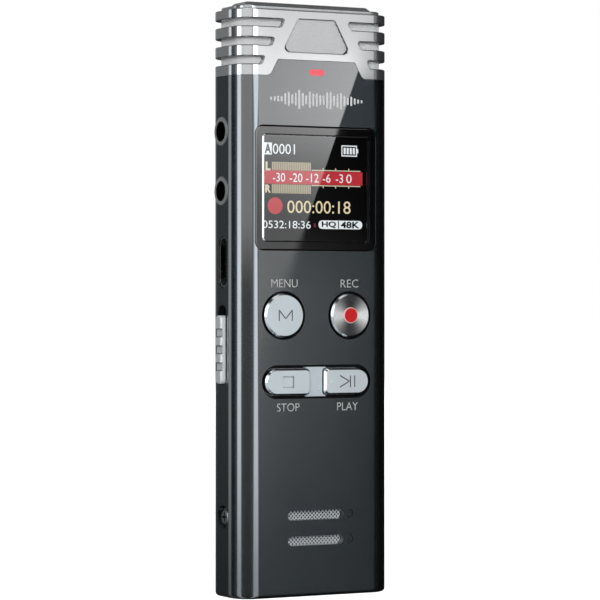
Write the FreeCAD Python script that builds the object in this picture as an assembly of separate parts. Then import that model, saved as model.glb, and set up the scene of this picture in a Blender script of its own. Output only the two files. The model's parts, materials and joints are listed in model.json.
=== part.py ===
"""Handheld voice recorder: a slim upright bar with a ribbed silver head, a gunmetal body, a small display,
four front keys, a slide switch, two audio sockets, a USB-C socket and a loudspeaker behind two slots.

Frame: millimetres, +X to the recorder's right as it faces you, +Y from the front face to the back, +Z up
along its length. The origin is the centre of the base, midway between the front and back faces.
Each function builds one sub-part, or one small group of them, and returns {node name: shape}.
"""
import FreeCAD
import Part

import math
import os

from FreeCAD import Vector

# ---- driving dimensions: the body ----
WIDTH = 31.0
DEPTH = 12.0
CORNER = 3.9            # radius of the four long edges
WALL = 1.2              # front, side, back and bottom walls
SEAM_Y = 4.2            # plane where the front shell meets the rear cover
SEAM_GAP = 0.04
LIP_GAP = 0.05
SHELL_TOP = 91.65       # the head cap starts here
BASE_FILLET = 0.7
HALF_W = WIDTH / 2
FRONT_Y = -DEPTH / 2
BACK_Y = DEPTH / 2
INNER_X = HALF_W - WALL
INNER_FRONT = FRONT_Y + WALL
INNER_BACK = BACK_Y - WALL

# ---- the head cap ----
CAP_TOP = 103.3
CAP_WALL = 1.0
CAP_GAP = 0.05          # line between cap and body
EDGE_BREAK = 0.12       # small chamfer on the cap's outer edges
SLANT = 0.55            # sideways run per unit of height on every slanted edge of the head
NOTCH_TOP = 94.55       # the front shell's tongue reaches up into the cap
NOTCH_HALF = 7.65       # half its width at the top
GROOVE_LOW = (93.62, 96.94, 100.26)
GROOVE_HEIGHT = 1.38
GROOVE_REACH = (10.22, 8.3, 6.3)       # |x| where each groove ends, at its top edge
GROOVE_CORNER = 0.3
TRAPEZOID = (95.95, 101.76, 3.62)     # low z, high z, half width at the top
GRILLE_RECESS = 0.12
TIER_INSET = 1.1        # lower step of the top plate
TIER_TOP = 103.98
CROWN_INSET = (2.3, 3.4)              # the crown slopes from the first inset to the second
TOP = 104.8
SPIGOT_TOP = 93.1
LINER_GAP = 9.4         # half width of the gap that the mesh liner leaves for the tongue

# ---- the display ----
DISPLAY_Z = 72.0
BEZEL_HALF = (12.25, 11.0)            # half width, half height
BEZEL_CORNER = 1.6
LENS_HALF = (10.8, 9.5)
LENS_CORNER = 0.8
LENS_FRONT = FRONT_Y - 0.05
LENS_BEVEL = (0.25, 0.3)              # sideways and depthwise size of the bevel round the lens
LENS_BACK = FRONT_Y + 0.5
BEZEL_FRONT = FRONT_Y + 0.15
BEZEL_ROUNDING = 0.3
BEZEL_SEAT = FRONT_Y + 0.8
LCD_FRONT = -4.55
LCD_BACK = -3.6
BACKLIGHT_BACK = -2.75

# ---- the front keys ----
PCB_FRONT = -2.6
PCB_BACK = -1.6
ROUND_KEY_X = 6.64
ROUND_KEY_Z = 49.6
ROUND_HOLE_R = 4.3
ROUND_KEY_R = 3.85
BAR_Z = 37.9                          # the stop and play keys share one slot
BAR_HALF = (10.92, 2.97)
BAR_KEY = (1.45, 10.35, 2.3)          # |x| near end, |x| far end, half height
BAR_KEY_CORNER = 0.7
TRIM_HALF = (2.0, 2.6)                # the silver bridge between the stop and play keys
TRIM_FRONT = FRONT_Y + 0.42
KEY_PROUD = 0.55
KEY_BEVEL = (0.28, 0.4)               # sideways and depthwise size of the cut edge round a key
KEY_TRAVEL = 0.3
KEY_GAP = 0.12
KEY_FRAME = (INNER_FRONT, -4.5)       # front and back of the plate that guides the keys
FLANGE = (-4.45, -4.1)
SWITCH_FRONT = -3.6
STEM_R = 0.75
STEM_ENTRY = 0.15                     # how far a stem stands in its switch at rest
SYMBOL_DEPTH = 0.3
SYMBOL_LINE = 0.22
STOP_SQUARE = (1.1, 1.0)

# ---- the left side ----
JACK_Y = 0.55
JACK_Z = {"mic": 82.0, "phones": 71.5}
JACK_BORE_R = 1.8
JACK_RING_R = 2.59
JACK_PROUD = 0.2
JACK_SEAT = -14.2                     # x where the ring meets the socket
JACK_END = -1.7                       # x of the bottom of the bore: 14 mm in
USB_Y = -0.02
USB_Z = 59.0
USB_HALF = (1.58, 4.47)               # half thickness, half height of the socket's steel shell
USB_WALL = 0.3
SLOT_Y = 0.27
SLOT_Z = (37.3, 51.5)
SLOT_HALF = 1.75
KNOB_Z = (37.55, 49.6)
KNOB_HALF = 1.1
KNOB_PROUD = 0.9
KNOB_CORNER = 0.8
SIDE_ROUNDING = 0.3     # front edges of the knob and of the rockers
KNOB_RIDGES = (39.85, 42.82, 45.79)   # low z of the finger grooves
SCREW_Z = 14.15
SCREW_RECESS_R = 2.05
SCREW_HEAD_R = 1.3

# ---- the right side ----
ROCKER_Z = {"volume": 73.5, "track": 54.5}
ROCKER_Y = 0.2
ROCKER_HALF = (1.3, 6.4)
ROCKER_PROUD = 0.55
ROCKER_AXIS_X = 12.9
PIN_R = 0.4
PIN_CLEARANCE = 0.05

# ---- the loudspeaker ----
SPEAKER_X = -0.2
SPEAKER_Z = 12.1
SOUND_SLOTS = (14.36, 9.86)
SOUND_SLOT_HALF = (5.55, 0.82)
DIMPLE_X = 6.7
DIMPLE_R = 0.75
DIMPLE_DEPTH = 0.25

LED_Z = 92.5
LED_HALF = (1.5, 0.55)
BOSSES = ((-11.8, 28.0), (11.8, 28.0), (-11.8, 87.3), (11.8, 87.3))
BATTERY = (-6.2, 11.0, 0.35, 4.5, 19.5, 65.5)   # x, y and z ranges of the cell

# ---- shape helpers ----
# A plane names how (u, v, w) lies in the frame: w is the direction in which an outline is extruded.
PLANES = {"plan": (0, 1, 2), "front": (0, 2, 1), "side": (1, 2, 0)}


def place(plane, u, v, w):
    """The point (u, v) of a plane's outline, at height w along its extrusion."""
    xyz = [0.0, 0.0, 0.0]
    for axis, value in zip(PLANES[plane], (u, v, w)):
        xyz[axis] = value
    return Vector(*xyz)


def rounded_wire(plane, corners, w):
    """Closed outline through (u, v, radius) corners, each rounded by its own tangent arc."""
    spots = []
    count = len(corners)
    for i, (u, v, radius) in enumerate(corners):
        here = Vector(u, v, 0)
        back = (Vector(*corners[i - 1][:2], 0) - here).normalize()
        on = (Vector(*corners[(i + 1) % count][:2], 0) - here).normalize()
        if radius <= 0:
            spots.append((here, here, here))
            continue
        half = back.getAngle(on) / 2
        reach = radius / math.tan(half)
        middle = here + (back + on).normalize() * (radius / math.sin(half) - radius)
        spots.append((here + back * reach, middle, here + on * reach))
    edges = []
    for i, (start, middle, end) in enumerate(spots):
        if (start - end).Length > 1e-6:
            edges.append(Part.Arc(*[place(plane, p.x, p.y, w) for p in (start, middle, end)]).toShape())
        following = spots[(i + 1) % count][0]
        if (following - end).Length > 1e-6:
            line = Part.makeLine(place(plane, end.x, end.y, w), place(plane, following.x, following.y, w))
            edges.append(line)
    return Part.Wire(edges)


def prism(plane, corners, w0, w1):
    """Solid between w0 and w1 whose outline goes through (u, v, radius) corners."""
    face = Part.Face(rounded_wire(plane, corners, w0))
    return face.extrude(place(plane, 0, 0, w1 - w0))


def rectangle(u0, u1, v0, v1, radius=0.0):
    """Corners of a rectangle, all with one radius."""
    return [(u0, v0, radius), (u1, v0, radius), (u1, v1, radius), (u0, v1, radius)]


def plate(plane, u0, u1, v0, v1, w0, w1, radius=0.0):
    return prism(plane, rectangle(u0, u1, v0, v1, radius), w0, w1)


def centred(plane, u, v, half_u, half_v, w0, w1, radius=0.0):
    return plate(plane, u - half_u, u + half_u, v - half_v, v + half_v, w0, w1, radius)


def box(x0, x1, y0, y1, z0, z1):
    return Part.makeBox(x1 - x0, y1 - y0, z1 - z0, Vector(x0, y0, z0))


def disc(plane, u, v, radius, w0, w1):
    return Part.makeCylinder(radius, w1 - w0, place(plane, u, v, w0), place(plane, 0, 0, 1))


def body_outline(inset, z):
    """The body's rounded plan outline, moved inwards by inset, at one height."""
    half_x = HALF_W - inset
    half_y = DEPTH / 2 - inset
    return rounded_wire("plan", rectangle(-half_x, half_x, -half_y, half_y, CORNER - inset), z)


def body_block(inset, z0, z1):
    return Part.Face(body_outline(inset, z0)).extrude(Vector(0, 0, z1 - z0))


def body_ring(outer_inset, inner_inset, z0, z1):
    return body_block(outer_inset, z0, z1).cut(body_block(inner_inset, z0 - 1, z1 + 1))


def fuse(shapes):
    whole = shapes[0]
    for shape in shapes[1:]:
        whole = whole.fuse(shape)
    return whole.removeSplitter()


def cut(shape, tools):
    for tool in tools:
        shape = shape.cut(tool)
    return shape


def group(shapes):
    """Several separate solids in one node."""
    return Part.makeCompound(shapes)


def mirrored(shape):
    """The same shape on the other side of the YZ plane."""
    return shape.mirror(Vector(0, 0, 0), Vector(1, 0, 0))


def both_sides(shape):
    return [shape, mirrored(shape)]


def chamfer(shape, size, wanted):
    """Chamfers the edges whose bounding box passes the test."""
    return shape.makeChamfer(size, [edge for edge in shape.Edges if wanted(edge.BoundBox)])


def fillet(shape, radius, wanted):
    """Rounds the edges whose bounding box passes the test."""
    return shape.makeFillet(radius, [edge for edge in shape.Edges if wanted(edge.BoundBox)])


def flat_at(axis, value):
    """Test for an edge that lies in the plane axis = value."""
    low, high = axis + "Min", axis + "Max"
    return lambda b: abs(getattr(b, low) - value) < 1e-4 and abs(getattr(b, high) - value) < 1e-4


def wire_tube(points, radius, bend):
    """A round wire through the points: straight runs joined by tangent arcs of one bend radius."""
    points = [Vector(*p) for p in points]
    edges = []
    start = points[0]
    for before, here, after in zip(points, points[1:], points[2:]):
        back = (before - here).normalize()
        on = (after - here).normalize()
        half = back.getAngle(on) / 2
        reach = bend / math.tan(half)
        middle = here + (back + on).normalize() * (bend / math.sin(half) - bend)
        edges.append(Part.makeLine(start, here + back * reach))
        edges.append(Part.Arc(here + back * reach, middle, here + on * reach).toShape())
        start = here + on * reach
    edges.append(Part.makeLine(start, points[-1]))
    path = Part.Wire(edges)
    section = Part.Wire([Part.makeCircle(radius, points[0], points[1] - points[0])])
    return path.makePipeShell([section], True, True)


# ---- casings ----
def notch_corners(gap, low):
    """Outline of the tongue that the front shell pushes up into the head cap, grown by gap."""
    top = NOTCH_TOP + gap
    foot = NOTCH_HALF + SLANT * (NOTCH_TOP - SHELL_TOP) + gap
    shelf = SHELL_TOP + gap
    side = [(11.2, low, 0), (11.2, shelf, 0), (foot, shelf, 1.3), (NOTCH_HALF + gap, top, 0.5)]
    return side + [(-u, v, radius) for u, v, radius in reversed(side)]


def bar_key_corners(side, grow):
    """Outline of the stop (side -1) or play (side +1) key: round far end, nearly square near end."""
    near, far, half = BAR_KEY
    low, high = BAR_Z - half - grow, BAR_Z + half + grow
    round_end = half + grow - 0.001
    near, far = side * (near - grow), side * (far + grow)
    square_end = BAR_KEY_CORNER
    return [(near, low, square_end), (far, low, round_end), (far, high, round_end), (near, high, square_end)]


def front_openings():
    """Everything cut through the front wall."""
    front, back = FRONT_Y - 1, INNER_FRONT + 1
    bezel_x, bezel_z = BEZEL_HALF
    loose = 0.03
    corner = BEZEL_CORNER + loose
    cuts = [
        centred("front", 0, DISPLAY_Z, bezel_x + loose, bezel_z + loose, front, BEZEL_SEAT, corner),
        centred("front", 0, DISPLAY_Z, bezel_x - 0.9, bezel_z - 0.9, front, back, 1.0),
        centred("front", 0, BAR_Z, *BAR_HALF, front, back, BAR_HALF[1] - 0.001),
        centred("front", 0, LED_Z, *LED_HALF, front, PCB_FRONT, LED_HALF[1] - 0.001),
    ]
    for side in (-1, 1):
        cuts.append(disc("front", side * ROUND_KEY_X, ROUND_KEY_Z, ROUND_HOLE_R, front, back))
    for z in SOUND_SLOTS:
        cuts.append(centred("front", SPEAKER_X, z, *SOUND_SLOT_HALF, front, back, SOUND_SLOT_HALF[1] - 0.001))
        cuts.append(disc("front", DIMPLE_X, z, DIMPLE_R, front, FRONT_Y + DIMPLE_DEPTH))
    return cuts


def side_openings():
    """Everything cut through the left and right walls."""
    out, inside = HALF_W + 1, INNER_X - 0.5
    usb_y, usb_z = USB_HALF[0] + 0.1, USB_HALF[1] + 0.1
    slot_z = sum(SLOT_Z) / 2
    slot_half = (SLOT_Z[1] - SLOT_Z[0]) / 2
    cuts = [disc("side", JACK_Y, z, JACK_RING_R + 0.01, -out, -inside) for z in JACK_Z.values()]
    cuts.append(centred("side", USB_Y, USB_Z, usb_y, usb_z, -out, -inside, usb_y - 0.001))
    cuts.append(centred("side", SLOT_Y, slot_z, SLOT_HALF, slot_half, -out, -inside, SLOT_HALF - 0.001))
    rocker_y, rocker_z = ROCKER_HALF
    for z in ROCKER_Z.values():
        cuts.append(centred("side", ROCKER_Y, z, rocker_y + 0.15, rocker_z + 0.17, inside, out, rocker_y))
    cuts += both_sides(disc("side", 0, SCREW_Z, 1.05, inside - 2, out))
    cuts += both_sides(disc("side", 0, SCREW_Z, SCREW_RECESS_R, HALF_W - 0.85, out))
    return cuts


def body_halves():
    """The hollow gunmetal body, parted at the seam into the front shell and the rear cover."""
    block = fillet(body_block(0, 0, SHELL_TOP), BASE_FILLET, flat_at("Z", 0))
    hollow = block.cut(body_block(WALL, WALL, SHELL_TOP + 1))
    reach = HALF_W + 1
    shell = hollow.common(box(-reach, reach, FRONT_Y - 1, SEAM_Y, -1, SHELL_TOP + 1))
    cover = hollow.common(box(-reach, reach, SEAM_Y + SEAM_GAP, BACK_Y + 1, -1, SHELL_TOP + 1))
    return shell, cover


def front_shell(shell):
    """Front, sides and base, with the tongue, the spigot that enters the cap, and four board bosses."""
    tongue = prism("front", notch_corners(0, SHELL_TOP - 2), FRONT_Y, INNER_FRONT)
    spigot = body_ring(CAP_WALL + 0.08, 1.8, SHELL_TOP - 1.6, SPIGOT_TOP)
    spigot = spigot.common(box(-HALF_W, HALF_W, FRONT_Y, SEAM_Y, 0, CAP_TOP))
    bosses = [disc("front", x, z, 1.5, INNER_FRONT - 0.05, PCB_FRONT) for x, z in BOSSES]
    holes = [disc("front", x, z, 0.55, INNER_FRONT, PCB_FRONT + 0.1) for x, z in BOSSES]
    whole = fuse([shell, tongue, spigot] + bosses)
    return {"front_shell": cut(whole, front_openings() + side_openings() + holes)}


def rear_cover(cover):
    """Back plate with a locating lip, two tapped screw tabs and two hooks that enter the head cap."""
    slide_in = WALL + LIP_GAP
    lip = body_ring(slide_in, 1.8, 3, 89).common(box(11.3, HALF_W, 2.8, SEAM_Y + 0.5, 0, 100))
    root = body_ring(WALL - 0.1, 1.8, 3, 89).common(box(11.3, HALF_W, SEAM_Y + SEAM_GAP, BACK_Y, 0, 100))
    inner = body_block(slide_in, 1.3, 91)
    tab = box(11.6, HALF_W, -1.6, INNER_BACK + 0.1, 11.2, 17.1).common(inner)
    tab = tab.cut(disc("side", 0, SCREW_Z, 0.8, 10, HALF_W))
    hook = box(5.5, 9.5, SEAM_Y + 0.05, INNER_BACK + 0.1, 88, SPIGOT_TOP - 0.2)
    additions = both_sides(lip) + both_sides(root) + both_sides(tab) + both_sides(hook)
    return {"rear_cover": fuse([cover] + additions)}


def groove_cutters():
    """Three slots that wrap round each side of the cap and end on slanted lines, front and back."""
    cutters = []
    for low, reach in zip(GROOVE_LOW, GROOVE_REACH):
        high = low + GROOVE_HEIGHT
        foot = reach + SLANT * GROOVE_HEIGHT
        ends = [(reach, high, GROOVE_CORNER), (foot, low, GROOVE_CORNER)]
        corners = [(HALF_W + 2, low, 0), (HALF_W + 2, high, 0)] + ends
        cutters += both_sides(prism("front", corners, FRONT_Y - 1, BACK_Y + 1))
    return cutters


def trapezoid_corners(shrink):
    low, high, half = TRAPEZOID
    foot = half + SLANT * (high - low)
    side = [(foot - 1.2 * shrink, low + shrink, 0.8), (half - shrink / 2, high - shrink, 0.35)]
    return side + [(-u, v, radius) for u, v, radius in reversed(side)]


def on_outer_face(b):
    """Test for an edge on the cap's outer surface, other than the line where the cap meets the body."""
    on_front = max(abs(b.YMin - FRONT_Y), abs(b.YMax - FRONT_Y)) < 1e-4
    on_back = max(abs(b.YMin - BACK_Y), abs(b.YMax - BACK_Y)) < 1e-4
    on_side = abs(abs(b.XMin) - HALF_W) < 1e-4 and abs(b.XMax - b.XMin) < 1e-4
    horizontal_arc = abs(b.ZMax - b.ZMin) < 1e-4 and abs(b.XMax - b.XMin - CORNER) < 1e-4
    upright = b.ZLength > 1e-4 and b.XLength < 0.1
    return b.ZMin > SHELL_TOP + 2.5 and not upright and (on_front or on_back or on_side or horizontal_arc)


def head():
    """The ribbed head cap, its stepped top plate, and the mesh behind the grooves."""
    cap = body_ring(0, CAP_WALL, SHELL_TOP + CAP_GAP, CAP_TOP)
    notch = prism("front", notch_corners(CAP_GAP, SHELL_TOP - 1), FRONT_Y - 1, -3)
    window = prism("front", trapezoid_corners(0), FRONT_Y - 1, -3)
    cap = cut(cap, groove_cutters() + [window])
    cap = chamfer(cap, EDGE_BREAK, on_outer_face).cut(notch)

    grille = prism("front", trapezoid_corners(0.15), FRONT_Y + GRILLE_RECESS, FRONT_Y + CAP_WALL)
    liner = body_ring(CAP_WALL + 0.02, CAP_WALL + 0.42, SPIGOT_TOP + 0.1, CAP_TOP - 1.5)
    liner = liner.cut(box(-LINER_GAP, LINER_GAP, FRONT_Y, -3, 90, NOTCH_TOP + 0.3))

    step = chamfer(body_block(TIER_INSET, CAP_TOP, TIER_TOP), EDGE_BREAK, flat_at("Z", TIER_TOP))
    foot, rim = CROWN_INSET
    crown = Part.makeLoft([body_outline(foot, TIER_TOP), body_outline(rim, TOP)], True, True)
    skirt = body_ring(CAP_WALL, 2.2, CAP_TOP - 1.4, CAP_TOP)
    return {
        "head_cap": cap,
        "front_mic_grille": grille,
        "mic_mesh": liner,
        "top_plate": fuse([step, crown, skirt]),
    }


# ---- microphones ----
def microphones():
    """Two electret capsules in rubber boots, facing left and right, held by one carrier."""
    z = 97.6
    face, rear = 13.5, 9.9
    boot = disc("side", 0, z, 3.5, rear, face).cut(disc("side", 0, z, 3.0, rear + 0.5, face + 1))
    capsule = disc("side", 0, z, 2.99, rear + 0.5, face - 0.3)
    capsule = capsule.cut(disc("side", 0, z, 0.5, face - 0.8, face))
    end_plate = plate("side", -4.2, 4.2, 93.8, 101.7, 10.6, 12.2, 0.8).cut(disc("side", 0, z, 3.52, 9, 14))
    beam = box(-10.8, 10.8, 3.6, 4.3, 95.0, 100.5)
    wires = []
    for side in (-1, 1):
        x = side * 7.2
        route = [(side * rear, 0, z), (side * 7.6, 0, z), (x, -0.6, 93.0), (x, PCB_BACK + 0.35, 88.2)]
        wires.append(wire_tube(route, 0.35, 1.3))
    return {
        "mic_boots": group(both_sides(boot)),
        "microphones": group(both_sides(capsule)),
        "mic_carrier": fuse(both_sides(end_plate) + [beam]),
        "mic_wires": group(wires),
    }


# ---- display ----
def display():
    """Bezel, clear lens, LCD glass, backlight tray and flex cable."""
    lens_x, lens_z = LENS_HALF
    bezel_x, bezel_z = BEZEL_HALF
    base = centred("front", 0, DISPLAY_Z, bezel_x, bezel_z, BEZEL_FRONT, BEZEL_SEAT, BEZEL_CORNER)
    base = fillet(base, BEZEL_ROUNDING, flat_at("Y", BEZEL_FRONT))
    rebate = centred("front", 0, DISPLAY_Z, lens_x + 0.02, lens_z + 0.02, -7, LENS_BACK, LENS_CORNER)
    opening = centred("front", 0, DISPLAY_Z, lens_x - 0.3, lens_z - 0.3, -7, -4, 0.6)
    bevel_in, bevel_back = LENS_BEVEL
    lens_edge = rectangle(-lens_x, lens_x, DISPLAY_Z - lens_z, DISPLAY_Z + lens_z, LENS_CORNER)
    lens_face = rectangle(-lens_x + bevel_in, lens_x - bevel_in, DISPLAY_Z - lens_z + bevel_in,
                          DISPLAY_Z + lens_z - bevel_in, LENS_CORNER - bevel_in)
    bevel = Part.makeLoft([rounded_wire("front", lens_edge, LENS_FRONT + bevel_back),
                           rounded_wire("front", lens_face, LENS_FRONT)], True, True)
    lens = centred("front", 0, DISPLAY_Z, lens_x, lens_z, LENS_FRONT + bevel_back, LENS_BACK, LENS_CORNER)
    flex = [(LCD_FRONT + 0.4, 60.9, 0), (LCD_BACK - 0.1, 60.9, 0), (LCD_BACK - 0.1, 58.4, 0.3),
            (PCB_FRONT, 56.6, 0), (PCB_FRONT, 55.8, 0), (PCB_FRONT - 0.15, 55.8, 0),
            (PCB_FRONT - 0.15, 56.5, 0.2), (LCD_BACK - 0.25, 58.3, 0.3), (LCD_BACK - 0.25, 60.75, 0),
            (LCD_FRONT + 0.4, 60.75, 0)]
    return {
        "display_bezel": cut(base, [rebate, opening]),
        "display_lens": fuse([lens, bevel]),
        "lcd_panel": centred("front", 0, 72.4, 11.9, 11.3, LCD_FRONT, LCD_BACK, 0.3),
        "lcd_backlight": centred("front", 0, 72.4, 12.1, 11.5, LCD_BACK, BACKLIGHT_BACK, 0.4),
        "lcd_flex": prism("side", flex, -4, 4),
    }


# ---- front keys ----
def stroke(x0, z0, x1, z1, front):
    """A straight engraved line on a key's face."""
    start = Vector(x0, front - 1, z0)
    end = Vector(x1, front - 1, z1)
    along = (end - start).normalize()
    across = Vector(-along.z, 0, along.x) * (SYMBOL_LINE / 2)
    corners = [start + across, end + across, end - across, start - across]
    face = Part.Face(Part.makePolygon(corners + corners[:1]))
    return face.extrude(Vector(0, 1 + SYMBOL_DEPTH, 0))


def strokes(points, x, z, front):
    """Engraved lines through successive points, given from the symbol's centre."""
    return [stroke(x + a, z + b, x + c, z + d, front) for (a, b), (c, d) in zip(points, points[1:])]


def switch_stem(x, z):
    return disc("front", x, z, STEM_R, FLANGE[1], SWITCH_FRONT + STEM_ENTRY)


def front_switch(x, z):
    """A low tactile switch on the board's front, open where its stem enters."""
    body = centred("front", x, z, 1.6, 1.6, SWITCH_FRONT, PCB_FRONT, 0.2)
    well = SWITCH_FRONT + STEM_ENTRY + KEY_TRAVEL + 0.05
    return body.cut(disc("front", x, z, STEM_R + 0.1, SWITCH_FRONT - 1, well))


def round_key(x):
    """A round key: a cap with a bevelled edge, and the flange that keeps it in."""
    top = FRONT_Y - KEY_PROUD
    inset, depth = KEY_BEVEL
    centre = Vector(x, top, ROUND_KEY_Z)
    bevel = Part.makeCone(ROUND_KEY_R - inset, ROUND_KEY_R, depth, centre, Vector(0, 1, 0))
    stem = disc("front", x, ROUND_KEY_Z, ROUND_KEY_R, top + depth, FLANGE[0])
    return fuse([bevel, stem, disc("front", x, ROUND_KEY_Z, ROUND_KEY_R + 0.55, *FLANGE)])


def bar_key(side):
    top = FRONT_Y - KEY_PROUD
    inset, depth = KEY_BEVEL
    face = rounded_wire("front", bar_key_corners(side, -inset), top)
    foot = rounded_wire("front", bar_key_corners(side, 0), top + depth)
    bevel = Part.makeLoft([face, foot], True, True)
    stem = prism("front", bar_key_corners(side, 0), top + depth, FLANGE[0])
    return fuse([bevel, stem, prism("front", bar_key_corners(side, 0.45), *FLANGE)])


def round_keys():
    """The menu key with its engraved letter, and the record key with a dished face and a red centre."""
    top = FRONT_Y - KEY_PROUD
    letter = [(-1.15, -0.95), (-1.15, 0.95), (0.15, -0.55), (1.45, 0.95), (1.45, -0.95)]
    menu = cut(round_key(-ROUND_KEY_X), strokes(letter, -ROUND_KEY_X, ROUND_KEY_Z, top))
    centre = Vector(ROUND_KEY_X, top - 0.001, ROUND_KEY_Z)
    dish = Part.makeCone(ROUND_KEY_R - 0.5, 1.3, 0.16, centre, Vector(0, 1, 0))
    seat = disc("front", ROUND_KEY_X, ROUND_KEY_Z, 1.45, top - 1, top + 0.7)
    ring = disc("front", ROUND_KEY_X, ROUND_KEY_Z, 1.44, top - 0.02, top + 0.7)
    dot = chamfer(ring, 0.12, flat_at("Y", top - 0.02))
    record = cut(round_key(ROUND_KEY_X), [dish, seat])
    return {
        "menu_button": menu,
        "menu_switch_stem": switch_stem(-ROUND_KEY_X, ROUND_KEY_Z),
        "rec_button": record,
        "rec_dot": dot,
        "rec_switch_stem": switch_stem(ROUND_KEY_X, ROUND_KEY_Z),
    }


def bar_keys():
    """The stop key with its sunk square, and the play key with its engraved triangle and bars."""
    top = FRONT_Y - KEY_PROUD
    middle = (BAR_KEY[0] + BAR_KEY[1]) / 2
    triangle = [(-1.5, -1.02), (0.4, 0), (-1.5, 1.02)]
    bars = [[(0.62, -1.02), (0.62, 1.02)], [(1.5, -1.02), (1.5, 1.02)]]
    square = centred("front", -middle, BAR_Z, *STOP_SQUARE, top - 1, top + SYMBOL_DEPTH)
    play_lines = strokes(triangle, middle, BAR_Z, top)
    for bar in bars:
        play_lines += strokes(bar, middle, BAR_Z, top)
    return {
        "stop_button": cut(bar_key(-1), [square]),
        "stop_switch_stem": switch_stem(-middle, BAR_Z),
        "play_button": cut(bar_key(1), play_lines),
        "play_switch_stem": switch_stem(middle, BAR_Z),
    }


def key_surround():
    """The black plate that guides all four keys, the silver trim between stop and play, and the switches."""
    front, back = KEY_FRAME
    frame = plate("front", -11.5, 11.5, 33.6, 55.2, front, back, 1.0)
    collars = []
    holes = []
    for side in (-1, 1):
        x = side * ROUND_KEY_X
        collars.append(disc("front", x, ROUND_KEY_Z, ROUND_HOLE_R - 0.02, FRONT_Y + 0.75, back))
        holes.append(disc("front", x, ROUND_KEY_Z, ROUND_KEY_R + KEY_GAP, -7, -4))
        holes.append(prism("front", bar_key_corners(side, KEY_GAP), -7, -4))
    trim = centred("front", 0, BAR_Z, *TRIM_HALF, TRIM_FRONT, front)
    middle = (BAR_KEY[0] + BAR_KEY[1]) / 2
    places = [(-ROUND_KEY_X, ROUND_KEY_Z), (ROUND_KEY_X, ROUND_KEY_Z), (-middle, BAR_Z), (middle, BAR_Z)]
    return {
        "key_frame": cut(fuse([frame] + collars), holes),
        "transport_trim": cut(trim, holes[1::2]),
        "front_switches": group([front_switch(x, z) for x, z in places]),
    }


# ---- left side ----
def slide_switch():
    """The finger knob in its slot, the shutter behind the wall, and the switch that they work."""
    face = -HALF_W - KNOB_PROUD
    root = -INNER_X + 0.1
    y0, y1 = SLOT_Y - KNOB_HALF, SLOT_Y + KNOB_HALF
    knob = plate("side", y0, y1, *KNOB_Z, face, root, KNOB_CORNER)
    knob = fillet(knob, SIDE_ROUNDING, flat_at("X", face))
    ridges = [box(face - 1, face + 0.35, y0 - 1, y1 + 1, low, low + 1.5) for low in KNOB_RIDGES]
    shutter = plate("side", -2.1, 2.4, 35.3, 51.8, root, root + 0.4, 0.5)
    lever = box(root + 0.4, -12.2, -0.4, 0.8, 42.9, 44.4)
    body = box(-12.9, -10.1, PCB_BACK, 1.7, 38.6, 50.0)
    return {
        "slide_knob": cut(knob, ridges),
        "slide_shutter": shutter,
        "slide_switch_lever": lever,
        "slide_switch_body": body.cut(box(-14, -11.9, -0.6, 1.0, 42.7, 46.8)),
    }


def jacks():
    """Two 3.5 mm audio sockets on the board, each with a metal ring pressed into the side wall."""
    nodes = {}
    for name, z in JACK_Z.items():
        mouth = -HALF_W - JACK_PROUD
        ring = chamfer(disc("side", JACK_Y, z, JACK_RING_R, mouth, JACK_SEAT), 0.15, flat_at("X", mouth))
        socket = box(JACK_SEAT, JACK_END + 0.5, PCB_BACK, 2.75, z - 2.6, z + 2.6)
        bore = disc("side", JACK_Y, z, JACK_BORE_R, mouth - 1, JACK_END)
        nodes[name + "_jack_ring"] = ring.cut(bore)
        nodes[name + "_jack_socket"] = socket.cut(bore)
    return nodes


def usb_socket():
    """A USB-C receptacle: steel shell, insulating tongue and its contacts."""
    half_y, half_z = USB_HALF
    mouth, rear = -HALF_W + 0.15, -8.0
    shell = centred("side", USB_Y, USB_Z, half_y, half_z, mouth, rear, half_y - 0.001)
    inner_y, inner_z = half_y - USB_WALL, half_z - USB_WALL
    hollow = centred("side", USB_Y, USB_Z, inner_y, inner_z, mouth - 1, rear - 0.3, inner_y - 0.001)
    block = centred("side", USB_Y, USB_Z, inner_y, inner_z, rear - 1.6, rear - 0.3, inner_y - 0.001)
    tongue = centred("side", USB_Y, USB_Z, 0.35, 3.34, mouth + 0.5, rear - 1.0, 0.15)
    contacts = []
    for i in range(12):
        z = USB_Z + (i - 5.5) * 0.5
        for face, side in ((USB_Y - 0.4, -1), (USB_Y + 0.35, 1)):
            contacts.append(box(mouth + 0.9, rear - 1.7, face, face + 0.05, z - 0.12, z + 0.12))
    return {
        "usb_shell": shell.cut(hollow),
        "usb_tongue": fuse([block, tongue]),
        "usb_contacts": group(contacts),
    }


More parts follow.
